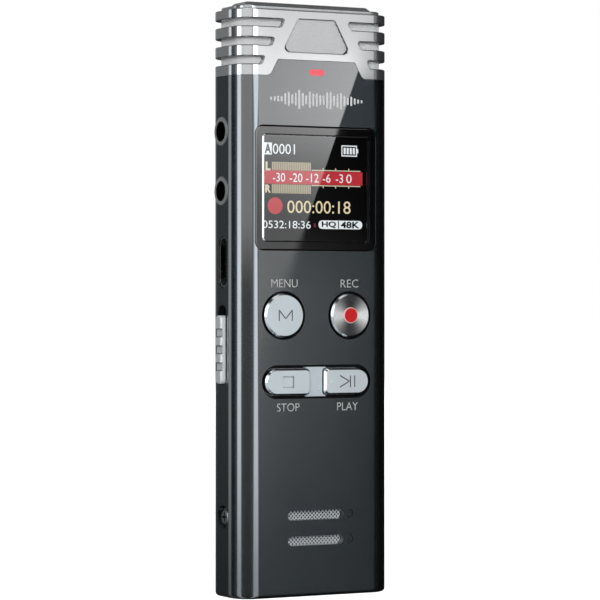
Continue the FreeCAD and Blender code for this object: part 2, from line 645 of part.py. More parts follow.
# ---- right side ----
def rockers():
    """Two rocker keys, each turning on a pin held by a bracket, with a switch under each end."""
    half_y, half_z = ROCKER_HALF
    face = HALF_W + ROCKER_PROUD
    nodes = {}
    pins = []
    brackets = []
    switches = []
    for name, z in ROCKER_Z.items():
        key = centred("side", ROCKER_Y, z, half_y, half_z, INNER_X - 0.5, face, half_y - 0.001)
        key = fillet(key, SIDE_ROUNDING, flat_at("X", face))
        heights = [z + at for at in (-4.2, -3.0, 3.0, 4.2)]
        grips = [box(face - 0.22, face + 1, -3, 3, height - 0.3, height + 0.3) for height in heights]
        rear, front = INNER_X - 0.7, INNER_X - 0.35
        flange = centred("side", ROCKER_Y, z, half_y + 0.45, half_z + 0.45, rear, front, 0.6)
        lug = centred("side", ROCKER_Y, z, 1.2, 0.95, ROCKER_AXIS_X - 0.85, INNER_X - 0.4)
        nubs = [disc("side", ROCKER_Y, z + at, 0.5, 13.25, INNER_X - 0.5) for at in (-4.8, 4.8)]
        bore = disc("front", ROCKER_AXIS_X, z, PIN_R + PIN_CLEARANCE, -3, 3)
        nodes[name + "_rocker"] = cut(fuse([key, flange, lug] + nubs), grips + [bore])
        pins.append(disc("front", ROCKER_AXIS_X, z, PIN_R, -1.55, 2.25))
        ears = [box(11.7, 13.5, y, y + 0.55, z - 1.1, z + 1.1) for y in (PCB_BACK, 1.7)]
        web = box(11.2, 11.75, PCB_BACK, 2.25, z - 1.1, z + 1.1)
        hole = disc("front", ROCKER_AXIS_X, z, PIN_R, -3, 3)
        brackets.append(cut(fuse(ears + [web]), [hole]))
        for at in (-4.8, 4.8):
            switches.append(box(11.4, 13.0, PCB_BACK, 1.7, z + at - 1.5, z + at + 1.5))
    nodes["rocker_pins"] = group(pins)
    nodes["rocker_brackets"] = group(brackets)
    nodes["side_switches"] = group(switches)
    return nodes


# ---- electronics ----
def board():
    """The main board and what is soldered to it."""
    outline = [(-13.2, 24, 1), (13.2, 24, 1), (13.2, 90, 1), (5, 90, 0.5), (5, 94.4, 0.5), (-5, 94.4, 0.5),
               (-5, 90, 0.5), (-13.2, 90, 1)]
    pcb = prism("front", outline, PCB_FRONT, PCB_BACK)
    pcb = cut(pcb, [disc("front", x, z, 0.75, -4, 0) for x, z in BOSSES])
    lens_x, lens_z = LED_HALF[0] - 0.03, LED_HALF[1] - 0.03
    lens = centred("front", 0, LED_Z, lens_x, lens_z, FRONT_Y - 0.06, -3.3, lens_z - 0.01)
    passives = []
    for row, z in enumerate((29.0, 31.0, 33.0, 58.5, 60.5, 62.5)):
        for column in range(5):
            x = -4.8 + 2.1 * column + 0.5 * (row % 2)
            passives.append(box(x, x + 1.0, PCB_BACK, PCB_BACK + 0.5, z, z + 0.5))
    return {
        "main_pcb": pcb,
        "led_chip": box(-1.0, 1.0, -3.2, PCB_FRONT, LED_Z - 0.4, LED_Z + 0.4),
        "led_lens": lens,
        "processor_chip": box(-4.5, 2.5, PCB_BACK, PCB_BACK + 0.9, 48.0, 55.0),
        "flash_chip": box(-3.0, 9.0, PCB_BACK, PCB_BACK + 1.0, 36.0, 46.0),
        "codec_chip": box(4.5, 9.5, PCB_BACK, PCB_BACK + 0.9, 50.0, 55.0),
        "pcb_passives": group(passives),
    }


def battery():
    """A lithium pouch cell on a plastic tray, with its two leads and a foam pad behind it."""
    x0, x1, y0, y1, z0, z1 = BATTERY
    cell = plate("plan", x0, x1, y0, y1, z0, z1, 1.4)
    floor_y = y0 - 0.5
    floor = box(x0 - 0.5, x1 + 0.15, floor_y, y0, z0 - 1.0, z1)
    walls = [box(x0 - 0.5, x1 + 0.15, floor_y, y0 + 2, z0 - 1.0, z0 - 0.1),
             box(x0 - 0.5, x0 - 0.1, floor_y, y0 + 2, z0 - 1.0, z1)]
    legs = [disc("front", x, z, 0.6, PCB_BACK, floor_y + 0.1) for x in (-5.9, 10.2) for z in (27.0, 64.6)]
    leads = []
    for offset in (0.0, 1.1):
        z = z1 + 1.0 + offset
        start = 4.6 - offset
        leads.append(wire_tube([(start, 2.4, z1), (start, 2.4, z), (8.2, 2.0, z), (9.2, PCB_BACK + 0.45, z)],
                               0.4, 0.55))
    return {
        "battery_cell": cell,
        "battery_tray": fuse([floor] + walls + legs),
        "battery_wires": group(leads),
        "battery_pad": box(x0 + 2, x1 - 2, y1, INNER_BACK, z0 + 6, z1 - 6),
    }


def speaker():
    """A small loudspeaker behind the two sound slots, with its mesh and leads."""
    x, z = SPEAKER_X, SPEAKER_Z
    mesh = centred("front", x, z, 7.0, 4.6, INNER_FRONT, INNER_FRONT + 0.2, 0.8)
    frame = centred("front", x, z, 7.6, 5.7, INNER_FRONT + 0.2, -1.3, 2.0)
    mouth = centred("front", x, z, 6.6, 4.7, -6, -2.6, 1.6)
    magnet = disc("front", x, z, 3.6, -1.3, -0.4)
    cone_rim = centred("front", x, z, 6.6, 4.7, -3.9, -3.75, 1.6)
    dome = Part.makeSphere(6.0, Vector(x, 1.6, z)).common(centred("front", x, z, 3, 3, -5, -3.75))
    leads = []
    for at in (3.2, 4.4):
        bend = at + 1.2
        leads.append(wire_tube([(at, -1.75, 17.8), (at, -1.75, 19.6), (bend, -1.25, 22.4), (bend, -1.25, 26)],
                               0.35, 1.3))
    return {
        "speaker_mesh": mesh,
        "speaker_frame": fuse([frame.cut(mouth), magnet]),
        "speaker_cone": fuse([cone_rim, dome]),
        "speaker_wires": group(leads),
    }


# ---- fasteners ----
def side_screw():
    """Countersunk machine screw with a cross recess, on the left side."""
    face = -HALF_W + 0.25
    head = chamfer(disc("side", 0, SCREW_Z, SCREW_HEAD_R, face, face + 0.6), 0.15, flat_at("X", face))
    shank = disc("side", 0, SCREW_Z, 0.78, face + 0.5, -11.7)
    cross = [box(face - 1, face + 0.35, -0.85, 0.85, SCREW_Z - 0.16, SCREW_Z + 0.16),
             box(face - 1, face + 0.35, -0.16, 0.16, SCREW_Z - 0.85, SCREW_Z + 0.85)]
    return cut(fuse([head, shank]), cross)


def fasteners():
    screws = []
    for x, z in BOSSES:
        head = disc("front", x, z, 1.2, PCB_BACK, PCB_BACK + 0.6)
        shank = disc("front", x, z, 0.53, PCB_FRONT - 1.6, PCB_BACK + 0.1)
        slot = box(x - 0.8, x + 0.8, PCB_BACK + 0.35, PCB_BACK + 1, z - 0.15, z + 0.15)
        screws.append(cut(fuse([head, shank]), [slot]))
    return {"side_screws": group(both_sides(side_screw())), "pcb_screws": group(screws)}


def main():
    shell, cover = body_halves()
    nodes = {}
    for made in (front_shell(shell), rear_cover(cover), head(), microphones(), display(), round_keys(),
                 bar_keys(), key_surround(), slide_switch(), jacks(), usb_socket(), rockers(), board(),
                 battery(), speaker(), fasteners()):
        nodes.update(made)
    os.makedirs("parts", exist_ok=True)
    for name, shape in nodes.items():
        if not shape.isValid():
            print("not valid:", name)
        print(f"{name:22s} solids {len(shape.Solids)}  volume {shape.Volume:9.2f} mm3")
        shape.exportStep("parts/" + name + ".step")
    print(len(nodes), "nodes")


main()
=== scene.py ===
"""Looks for the handheld voice recorder: its finishes, printed marks, lit display picture and woven grilles.

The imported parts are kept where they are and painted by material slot. New pieces are built here in metres, in
the same frame: +X to the recorder's right as it faces you, -Y out of the display face, +Z up its length.
"""

import json
import math

import bpy
from mathutils import Matrix, Vector

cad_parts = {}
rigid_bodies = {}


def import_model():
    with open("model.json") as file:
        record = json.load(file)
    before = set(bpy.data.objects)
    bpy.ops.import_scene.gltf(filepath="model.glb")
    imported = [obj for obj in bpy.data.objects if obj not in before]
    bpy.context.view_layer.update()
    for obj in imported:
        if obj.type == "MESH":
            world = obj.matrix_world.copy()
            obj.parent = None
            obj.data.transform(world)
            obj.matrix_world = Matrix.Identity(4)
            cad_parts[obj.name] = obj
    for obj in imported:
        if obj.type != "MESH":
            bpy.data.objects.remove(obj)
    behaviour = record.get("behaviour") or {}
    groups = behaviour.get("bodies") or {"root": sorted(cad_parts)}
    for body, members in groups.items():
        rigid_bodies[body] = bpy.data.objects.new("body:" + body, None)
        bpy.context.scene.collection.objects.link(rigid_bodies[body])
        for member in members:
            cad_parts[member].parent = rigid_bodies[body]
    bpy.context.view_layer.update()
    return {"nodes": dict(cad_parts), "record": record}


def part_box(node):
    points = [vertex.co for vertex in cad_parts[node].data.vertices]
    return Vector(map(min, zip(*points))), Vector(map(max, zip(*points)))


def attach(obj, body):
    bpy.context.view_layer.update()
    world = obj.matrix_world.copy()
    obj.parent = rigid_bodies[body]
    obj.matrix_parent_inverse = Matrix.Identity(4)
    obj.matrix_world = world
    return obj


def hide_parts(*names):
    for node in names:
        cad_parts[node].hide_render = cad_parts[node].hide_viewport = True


for leftover in list(bpy.data.objects):
    bpy.data.objects.remove(leftover)
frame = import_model()

MM = 0.001


# ---- places taken from the frame ----
def centre_of(node):
    low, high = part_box(node)
    return (low + high) / 2


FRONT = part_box("front_shell")[0].y
DISPLAY = centre_of("display_lens")
LCD_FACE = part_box("lcd_panel")[0].y
MENU_KEY = centre_of("menu_button")
REC_KEY = centre_of("rec_button")
STOP_KEY = centre_of("stop_button")
GRILLE_LOW, GRILLE_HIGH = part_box("front_mic_grille")
SPEAKER_LOW, SPEAKER_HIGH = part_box("speaker_mesh")
RING_LOW, RING_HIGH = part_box("mic_mesh")

# ---- camera ----
CAMERA_TURN = math.radians(28.33)     # how far the camera stands to the recorder's left
CAMERA_DISTANCE = 0.495
CAMERA_HEIGHT = 0.05232
CAMERA_LENS = 166.3                   # millimetres, as is the sensor
SENSOR_WIDTH = 36.0
CAMERA_SHIFT = -0.001
NEAREST_SEEN, FARTHEST_SEEN = 0.01, 50.0


# ---- node helpers ----
MIX_FIRST, MIX_SECOND, MIX_RESULT = 6, 7, 2      # a Mix node's colour sockets


def new_tree(name):
    """A fresh material and its emptied node tree."""
    material = bpy.data.materials.new(name)
    material.use_nodes = True
    material.node_tree.nodes.clear()
    return material, material.node_tree


def add(tree, kind, **settings):
    """A node of that kind. Settings name its properties, or its inputs with the spaces as underscores."""
    node = tree.nodes.new(kind)
    for key, value in settings.items():
        if hasattr(node, key):
            setattr(node, key, value)
        else:
            node.inputs[key.replace("_", " ")].default_value = value
    return node


def link(tree, source, target):
    tree.links.new(source, target)


def own_place(tree):
    """A point's place in its object's own coordinates, which are the frame's at rest."""
    return add(tree, "ShaderNodeTexCoord").outputs["Object"]


def add_relief(tree, shader, height, strength, depth):
    bump = add(tree, "ShaderNodeBump", Strength=strength, Distance=depth)
    link(tree, height, bump.inputs["Height"])
    link(tree, bump.outputs["Normal"], shader.inputs["Normal"])


def show(tree, surface):
    """Ends a material's tree."""
    output = add(tree, "ShaderNodeOutputMaterial")
    link(tree, surface, output.inputs["Surface"])


def maths(tree, operation, first, second=None, third=None):
    """A Math node; each operand is a number or another node's output."""
    node = tree.nodes.new("ShaderNodeMath")
    node.operation = operation
    for socket, value in zip(node.inputs, (first, second, third)):
        if value is None:
            continue
        if isinstance(value, (int, float)):
            socket.default_value = value
        else:
            link(tree, value, socket)
    return node.outputs[0]


def ranged(tree, value, low, high, to_low, to_high, smooth=False):
    """Maps value from low..high to to_low..to_high, held at both ends."""
    node = add(tree, "ShaderNodeMapRange", interpolation_type="SMOOTHSTEP" if smooth else "LINEAR")
    link(tree, value, node.inputs["Value"])
    for key, number in (("From Min", low), ("From Max", high), ("To Min", to_low), ("To Max", to_high)):
        node.inputs[key].default_value = number
    return node.outputs["Result"]


def noise(tree, place, scale, detail=2.0, stretch=None):
    """Noise value over the object's own coordinates, with scale in cells per metre."""
    if stretch:
        mapping = add(tree, "ShaderNodeMapping")
        mapping.inputs["Scale"].default_value = stretch
        link(tree, place, mapping.inputs["Vector"])
        place = mapping.outputs["Vector"]
    texture = add(tree, "ShaderNodeTexNoise", Scale=scale, Detail=detail)
    link(tree, place, texture.inputs["Vector"])
    return texture.outputs["Fac"]


def blend_colours(tree, factor, first, second):
    """Mixes two colours; each is a triple or another node's output."""
    node = add(tree, "ShaderNodeMix", data_type="RGBA")
    link(tree, factor, node.inputs["Factor"])
    for socket, value in ((node.inputs[MIX_FIRST], first), (node.inputs[MIX_SECOND], second)):
        if isinstance(value, tuple):
            socket.default_value = (*value, 1.0)
        else:
            link(tree, value, socket)
    return node.outputs[MIX_RESULT]


def scaled(tree, colour, factor):
    """A colour output times another output."""
    node = add(tree, "ShaderNodeVectorMath", operation="MULTIPLY")
    link(tree, colour, node.inputs[0])
    link(tree, factor, node.inputs[1])
    return node.outputs["Vector"]


def graded(tree, value, levels, curve="LINEAR"):
    """A colour ramp over value, from (position, colour) stops."""
    ramp = add(tree, "ShaderNodeValToRGB")
    ramp.color_ramp.interpolation = curve
    link(tree, value, ramp.inputs["Fac"])
    stops = ramp.color_ramp.elements
    while len(stops) > 1:
        stops.remove(stops[-1])
    for i, (position, colour) in enumerate(levels):
        stop = stops[0] if i == 0 else stops.new(position)
        stop.position = position
        stop.color = (*colour, 1.0)
    return ramp.outputs["Color"]


def tinted(colour, factor):
    return tuple(min(1.0, channel * factor) for channel in colour)


def turned_from(tree, axis, fully, not_yet):
    """1 where a surface has turned well away from an axis, 0 where it faces along it."""
    facing = add(tree, "ShaderNodeSeparateXYZ")
    link(tree, add(tree, "ShaderNodeTexCoord").outputs["Normal"], facing.inputs["Vector"])
    return ranged(tree, maths(tree, "ABSOLUTE", facing.outputs[axis]), fully, not_yet, 1.0, 0.0)


def off_front(tree):
    """1 where a surface slopes well away from the front or back, 0 where it faces it."""
    return turned_from(tree, "Y", 0.75, 0.9)


# ---- finishes ----
GRAIN_DEPTH = 0.05 * MM
EDGE_MARK_REACH = 0.18 * MM                # how far the edge wear and the painted edge shade spread from a sharp edge


def finish(name, colour, roughness, metallic=0.0, mottle=0.06, mottle_scale=260.0, grain=4500.0,
           relief=0.02, uneven=0.3, brushing=None, edge_wear_and_shade=None, cut=None, crease_shade=None, corners=None,
           bore_shade=None, **principled):
    """A finish whose tone and roughness drift a little, with fine grain in relief.

    mottle is the drift of the tone and uneven that of the roughness, each as a share of it. mottle_scale and
    grain are in cells per metre, brushing stretches the grain along one axis, and relief is its strength.
    edge_wear_and_shade is (edge colour, strength) along sharp edges: lighter worn paint on the body, painted
    dark reflection on the edges of the satin silver, and painted dark edge shade on the knob. cut is the
    polished metal colour of bevels cut round a front face. corners is the metallic value on rounded corners.
    crease_shade is (dark colour, reach in metres, own parts only): painted shade that darkens sheltered places
    and takes their gloss away. bore_shade is painted shade on walls that run into the side.
    """
    material, tree = new_tree(name)
    place = own_place(tree)
    shader = add(tree, "ShaderNodeBsdfPrincipled", **principled)
    metal = metallic

    drift = noise(tree, place, mottle_scale, 3.0)
    fine = noise(tree, place, grain, 2.0, brushing)
    tone = blend_colours(tree, drift, tinted(colour, 1 - mottle), tinted(colour, 1 + mottle))
    spread = roughness * uneven
    rough = maths(tree, "ADD", ranged(tree, drift, 0.3, 0.7, -spread, spread),
                  ranged(tree, fine, 0.3, 0.7, roughness - spread / 2, roughness + spread / 2))
    # Colour along sharp edges: lighter worn paint on the body, and painted dark reflection or shade on the
    # edges of the satin silver and the knob.
    if edge_wear_and_shade:
        edge_mark_colour, strength = edge_wear_and_shade
        edge = add(tree, "ShaderNodeBevel", samples=4, Radius=EDGE_MARK_REACH)
        plain = add(tree, "ShaderNodeNewGeometry")
        facing = add(tree, "ShaderNodeVectorMath", operation="DOT_PRODUCT")
        link(tree, edge.outputs["Normal"], facing.inputs[0])
        link(tree, plain.outputs["Normal"], facing.inputs[1])
        mask = ranged(tree, facing.outputs["Value"], 0.997, 0.93, 0.0, 1.0)
        patchy = ranged(tree, noise(tree, place, 900.0, 3.0), 0.4, 0.6, 0.45, 1.0)
        amount = maths(tree, "MULTIPLY", maths(tree, "MULTIPLY", mask, patchy), strength)
        tone = blend_colours(tree, amount, tone, edge_mark_colour)
    if cut:
        bevel = off_front(tree)
        tone = blend_colours(tree, bevel, tone, cut)
        rough = maths(tree, "MULTIPLY", rough, ranged(tree, bevel, 0.0, 1.0, 1.0, 0.6))
        metal = ranged(tree, bevel, 0.0, 1.0, metallic, 1.0)
    if corners:
        round_part = maths(tree, "MULTIPLY", turned_from(tree, "Y", 0.975, 0.997),
                           turned_from(tree, "X", 0.96, 0.995))
        metal = ranged(tree, round_part, 0.0, 1.0, metallic, corners)
    # Painted shade: where ambient occlusion finds shelter, the colour goes dark and the metal, gloss and coat
    # fade out.
    if crease_shade:
        dark, crease_reach, own = crease_shade
        shelter = add(tree, "ShaderNodeAmbientOcclusion", samples=6, only_local=own, Distance=crease_reach)
        open_air = ranged(tree, shelter.outputs["AO"], 0.52, 0.9, 0.0, 1.0)
        tone = blend_colours(tree, open_air, dark, tone)
        metal = maths(tree, "MULTIPLY", open_air, metal)
        gloss = principled.get("Specular_IOR_Level", 0.5)
        link(tree, maths(tree, "MULTIPLY", open_air, gloss), shader.inputs["Specular IOR Level"])
        if "Coat_Weight" in principled:
            link(tree, open_air, shader.inputs["Coat Weight"])
    # Painted shade: walls that run into the side, inside a socket ring, are coloured near black.
    if bore_shade:
        tone = blend_colours(tree, turned_from(tree, "X", 0.55, 0.85), tone, bore_shade)
    if isinstance(metal, (int, float)):
        shader.inputs["Metallic"].default_value = metal
    else:
        link(tree, metal, shader.inputs["Metallic"])
    link(tree, tone, shader.inputs["Base Color"])
    link(tree, rough, shader.inputs["Roughness"])
    add_relief(tree, shader, fine, relief, GRAIN_DEPTH)
    show(tree, shader.outputs["BSDF"])
    return material


def glass_cover(name):
    """A clear coated window whose polished bevel mirrors strongly; the rest is let through."""
    material, tree = new_tree(name)
    place = own_place(tree)
    bounce = add(tree, "ShaderNodeFresnel", IOR=2.5)
    clear = add(tree, "ShaderNodeBsdfTransparent")
    clear.inputs["Color"].default_value = (0.93, 0.95, 0.95, 1.0)
    mirror = add(tree, "ShaderNodeBsdfGlossy")
    mirror.inputs["Color"].default_value = (0.98, 0.99, 1.0, 1.0)
    smear = noise(tree, place, 140.0, 3.0)
    link(tree, ranged(tree, smear, 0.35, 0.75, 0.0, 0.03), mirror.inputs["Roughness"])
    bevel = maths(tree, "MULTIPLY", off_front(tree), 0.85)
    side = add(tree, "ShaderNodeNewGeometry")
    outside = maths(tree, "SUBTRACT", 1.0, side.outputs["Backfacing"])
    mixed = add(tree, "ShaderNodeMixShader")
    share = maths(tree, "MAXIMUM", bounce.outputs["Fac"], bevel)
    link(tree, maths(tree, "MULTIPLY", share, outside), mixed.inputs["Fac"])
    link(tree, clear.outputs["BSDF"], mixed.inputs[1])
    link(tree, mirror.outputs["BSDF"], mixed.inputs[2])
    show(tree, mixed.outputs["Shader"])
    return material


def lit(name, colour, strength, pixel=None, gaps=1.0):
    """Light from the display. pixel is the pitch of its columns, and gaps the light left between them."""
    material, tree = new_tree(name)
    shader = add(tree, "ShaderNodeBsdfPrincipled", Roughness=0.4)
    shader.inputs["Base Color"].default_value = (*tinted(colour, 0.05), 1.0)
    place = own_place(tree)
    uneven = ranged(tree, noise(tree, place, 1800.0, 1.0), 0.3, 0.7, 0.93, 1.0)
    if pixel:
        across = add(tree, "ShaderNodeSeparateXYZ")
        link(tree, place, across.inputs["Vector"])
        phase = maths(tree, "FRACT", maths(tree, "MULTIPLY", across.outputs["X"], 1.0 / pixel))
        off_middle = maths(tree, "ABSOLUTE", maths(tree, "SUBTRACT", phase, 0.5))
        column = ranged(tree, off_middle, 0.2, 0.35, 1.0, gaps)
        uneven = maths(tree, "MULTIPLY", uneven, column)
    glow = blend_colours(tree, uneven, (0.0, 0.0, 0.0), colour)
    link(tree, glow, shader.inputs["Emission Color"])
    shader.inputs["Emission Strength"].default_value = strength
    show(tree, shader.outputs["BSDF"])
    return material


def distance_from(tree, place, centre):
    """Node outputs for a point's offset from a key's centre line, that offset's Z, and its length."""
    offset = add(tree, "ShaderNodeVectorMath", operation="SUBTRACT")
    offset.inputs[1].default_value = (centre.x, 0.0, centre.z)
    link(tree, place, offset.inputs[0])
    parts = add(tree, "ShaderNodeSeparateXYZ")
    link(tree, offset.outputs["Vector"], parts.inputs["Vector"])
    x, z = parts.outputs["X"], parts.outputs["Z"]
    squares = maths(tree, "ADD", maths(tree, "MULTIPLY", x, x), maths(tree, "MULTIPLY", z, z))
    return offset.outputs["Vector"], z, maths(tree, "SQRT", squares)


def spun_metal_painted_fans(name):
    """Lathe-turned metal: rings of fine grooves, with two painted highlight fans that run out from the centre.
    """
    groove_pitch, groove_depth = 0.16 * MM, 0.02 * MM
    dark, bright, streaked = (0.02, 0.022, 0.024), (1.0, 1.0, 1.0), (0.26, 0.25, 0.26)
    groove_dark, bevel_tone = (0.02, 0.02, 0.02), (0.72, 0.75, 0.77)
    material, tree = new_tree(name)
    shader = add(tree, "ShaderNodeBsdfPrincipled")
    offset, height, radius = distance_from(tree, own_place(tree), REC_KEY)
    ring = maths(tree, "SINE", maths(tree, "MULTIPLY", radius, 2 * math.pi / groove_pitch))
    turn = maths(tree, "ABSOLUTE", maths(tree, "DIVIDE", height, maths(tree, "ADD", radius, 1e-6)))
    # Painted highlight: bright fans to the left and right of the centre and dark above and below stand in for
    # the turned face's reflections.
    painted_highlight_fans = maths(tree, "POWER", ranged(tree, turn, 0.2, 1.0, 1.0, 0.0), 1.25)
    tone = blend_colours(tree, painted_highlight_fans, dark, bright)
    streak = noise(tree, offset, 2600.0, 2.0)
    tone = blend_colours(tree, ranged(tree, streak, 0.35, 0.65, 0.0, 0.12), tone, streaked)
    tone = blend_colours(tree, ranged(tree, ring, -1.0, 1.0, 0.0, 0.16), tone, groove_dark)
    bevel = off_front(tree)
    tone = blend_colours(tree, bevel, tone, bevel_tone)
    link(tree, ranged(tree, bevel, 0.0, 1.0, 0.12, 1.0), shader.inputs["Metallic"])
    link(tree, ranged(tree, bevel, 0.0, 1.0, 0.35, 0.15), shader.inputs["Roughness"])
    link(tree, tone, shader.inputs["Base Color"])
    add_relief(tree, shader, ring, 0.2, groove_depth)
    show(tree, shader.outputs["BSDF"])
    return material


def red_dot(name):
    """Red enamel inside a thin pale rim."""
    rim_start, rim_full, enamel_relief = 1.22 * MM, 1.30 * MM, 0.03 * MM
    material, tree = new_tree(name)
    shader = add(tree, "ShaderNodeBsdfPrincipled", Roughness=0.3)
    offset, _, radius = distance_from(tree, own_place(tree), REC_KEY)
    drift = noise(tree, offset, 900.0, 3.0)
    red = blend_colours(tree, drift, (0.66, 0.013, 0.015), (0.76, 0.02, 0.022))
    rim = ranged(tree, radius, rim_start, rim_full, 0.0, 1.0)
    link(tree, blend_colours(tree, rim, red, (0.95, 0.62, 0.58)), shader.inputs["Base Color"])
    add_relief(tree, shader, drift, 0.05, enamel_relief)
    show(tree, shader.outputs["BSDF"])
    return material


BODY_TONE = (0.066, 0.078, 0.085)
SILVER = (0.80, 0.815, 0.83)
KEY_TONE = (0.80, 0.885, 0.925)

FINISHES = {
    # Lighter colour along the body's sharp edges is worn paint; the darkening in its slots, holes and dimples
    # is painted shade.
    "anodised_body": finish("gunmetal_lacquer", BODY_TONE, 0.38, metallic=0.9, relief=0.03, grain=2600.0,
                            uneven=0.12, edge_wear_and_shade=((0.30, 0.31, 0.32), 0.12), Coat_Weight=1.0, Coat_IOR=2.6,
                            Coat_Roughness=0.012, crease_shade=((0.003, 0.0035, 0.004), 0.45 * MM, True)),
    # The dark colour along this silver's sharp edges is painted dark reflection on its chamfers; the darkening
    # in its grooves and where it meets the body is painted shade.
    "head_silver": finish("satin_silver", SILVER, 0.085, metallic=0.62, grain=5200.0, relief=0.03, uneven=0.15,
                          mottle=0.03, edge_wear_and_shade=((0.10, 0.105, 0.11), 1.0), corners=0.9,
                          crease_shade=((0.04, 0.042, 0.045), 0.7 * MM, False)),
    "mic_mesh": finish("mesh_silver", (0.95, 0.955, 0.96), 0.40, relief=0.1, mottle=0.04),
    # The darkening in the keys' engraved symbols and other recesses is painted shade.
    "key_silver": finish("key_silver", KEY_TONE, 0.24, metallic=0.25, relief=0.015, mottle=0.015, uneven=0.1,
                         cut=(0.80, 0.83, 0.85), crease_shade=((0.20, 0.215, 0.225), 0.35 * MM, True)),
    "rec_metal": spun_metal_painted_fans("spun_metal_painted_fans"),
    "rec_red": red_dot("red_enamel"),
    "trim_silver": finish("trim_silver", (0.70, 0.775, 0.82), 0.30, metallic=0.3, relief=0.05,
                          brushing=(0.05, 1.0, 1.0)),
    "black_plastic": finish("black_plastic", (0.0035, 0.0035, 0.004), 0.6, mottle=0.2, relief=0.15,
                            grain=7000.0, Specular_IOR_Level=0.2),
    "window_black": finish("window_black", (0.003, 0.003, 0.0035), 0.025, IOR=2.35, mottle=0.2, relief=0.005),
    "lens": glass_cover("window_glass"),
    "lcd": finish("lcd_black", (0.002, 0.002, 0.0024), 0.4, mottle=0.3, relief=0.0, Specular_IOR_Level=0.0),
    "led_red": lit("led_red", (0.95, 0.125, 0.155), 1.0),
    # The dark colour along the knob's sharp edges and in its grooves is painted shade.
    "knob_silver": finish("knob_silver", (0.93, 0.94, 0.95), 0.20, metallic=0.2, relief=0.02, mottle=0.02,
                          uneven=0.1, edge_wear_and_shade=((0.12, 0.125, 0.13), 0.7),
                          crease_shade=((0.06, 0.06, 0.065), 0.4 * MM, True)),
    # The near-black on the walls inside the socket ring is painted shade.
    "jack_metal": finish("jack_metal", (0.38, 0.385, 0.385), 0.42, metallic=0.3, relief=0.06,
                         bore_shade=(0.002, 0.002, 0.002), Specular_IOR_Level=0.2),
    # The darkening inside the port is painted shade.
    "usb_steel": finish("usb_steel", (0.45, 0.46, 0.47), 0.24, metallic=1.0, relief=0.05,
                        brushing=(0.05, 1.0, 1.0), edge_wear_and_shade=((0.35, 0.35, 0.35), 0.8),
                        crease_shade=((0.003, 0.003, 0.003), 1.0 * MM, True)),
    # The darkening in the screw's recesses is painted shade.
    "screw_steel": finish("screw_steel", (0.34, 0.35, 0.35), 0.34, metallic=0.9, relief=0.08,
                          edge_wear_and_shade=((0.05, 0.05, 0.05), 0.8), crease_shade=((0.01, 0.01, 0.01), 0.6 * MM, True)),
    "contact_gold": finish("contact_gold", (0.83, 0.62, 0.24), 0.22, metallic=1.0),
    "board_green": finish("solder_mask", (0.012, 0.09, 0.04), 0.35, mottle=0.2, mottle_scale=500.0, relief=0.1),
    "chip_black": finish("moulded_epoxy", (0.022, 0.022, 0.025), 0.55, relief=0.3, grain=9000.0),
    "flex_amber": finish("polyimide", (0.45, 0.20, 0.04), 0.3, mottle=0.15),
    "cell_foil": finish("foil_pouch", (0.66, 0.67, 0.69), 0.32, metallic=0.9, mottle_scale=420.0, relief=0.2),
    "foam": finish("foam", (0.045, 0.045, 0.045), 0.9, grain=3800.0, relief=0.8),
    "mic_rubber": finish("rubber", (0.03, 0.03, 0.03), 0.7, relief=0.3),
    "speaker_steel": finish("speaker_steel", (0.06, 0.06, 0.065), 0.45, metallic=0.8, relief=0.08),
    "wire_red": finish("wire_insulation", (0.55, 0.02, 0.02), 0.4, relief=0.05),
    "speaker_mesh": finish("speaker_wire", (0.88, 0.93, 0.97), 0.34, metallic=0.1, relief=0.05, mottle=0.03),
    "backlight_white": finish("white_diffuser", (0.75, 0.75, 0.72), 0.6),
    "cone_film": finish("cone_film", (0.006, 0.006, 0.007), 0.5, mottle=0.2),
}


def paint_parts():
    for part in frame["record"]["subparts"]:
        node = frame["nodes"][part["node"]]
        node.data.materials.clear()
        node.data.materials.append(FINISHES[part["material_slot"]])


# ---- mesh helpers ----
def put_in_scene(name, data):
    """A new object with that data."""
    made = bpy.data.objects.new(name, data)
    bpy.context.scene.collection.objects.link(made)
    return made


def piece(name, points, faces, material, body, smooth=False, slot=None):
    """A new piece from points in metres, which rides on a body."""
    mesh = bpy.data.meshes.new(name)
    mesh.from_pydata([tuple(p) for p in points], [], faces)
    mesh.validate()
    mesh.materials.append(material)
    mesh.polygons.foreach_set("use_smooth", [smooth] * len(mesh.polygons))
    made = put_in_scene(name, mesh)
    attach(made, body)
    return made


def slab(outline, y, depth):
    """Points and faces of a flat plate with an (x, z) outline in millimetres and its front at y."""
    count = len(outline)
    points = [Vector((x * MM, y, z * MM)) for x, z in outline]
    points += [Vector((x * MM, y + depth, z * MM)) for x, z in outline]
    faces = [tuple(range(count)), tuple(reversed(range(count, 2 * count)))]
    for i in range(count):
        j = (i + 1) % count
        faces.append((i, i + count, j + count, j))
    return points, faces


def rounded(x0, x1, z0, z1, radius, steps=5):
    """Anticlockwise outline of a rounded rectangle, with steps to each corner."""
    outline = []
    for cx, cz, start in ((x1, z0, -90), (x1, z1, 0), (x0, z1, 90), (x0, z0, 180)):
        mid_x = cx - radius if cx == x1 else cx + radius
        mid_z = cz - radius if cz == z1 else cz + radius
        if radius <= 0:
            outline.append((cx, cz))
            continue
        for i in range(steps + 1):
            angle = math.radians(start + 90 * i / steps)
            outline.append((mid_x + radius * math.cos(angle), mid_z + radius * math.sin(angle)))
    return outline


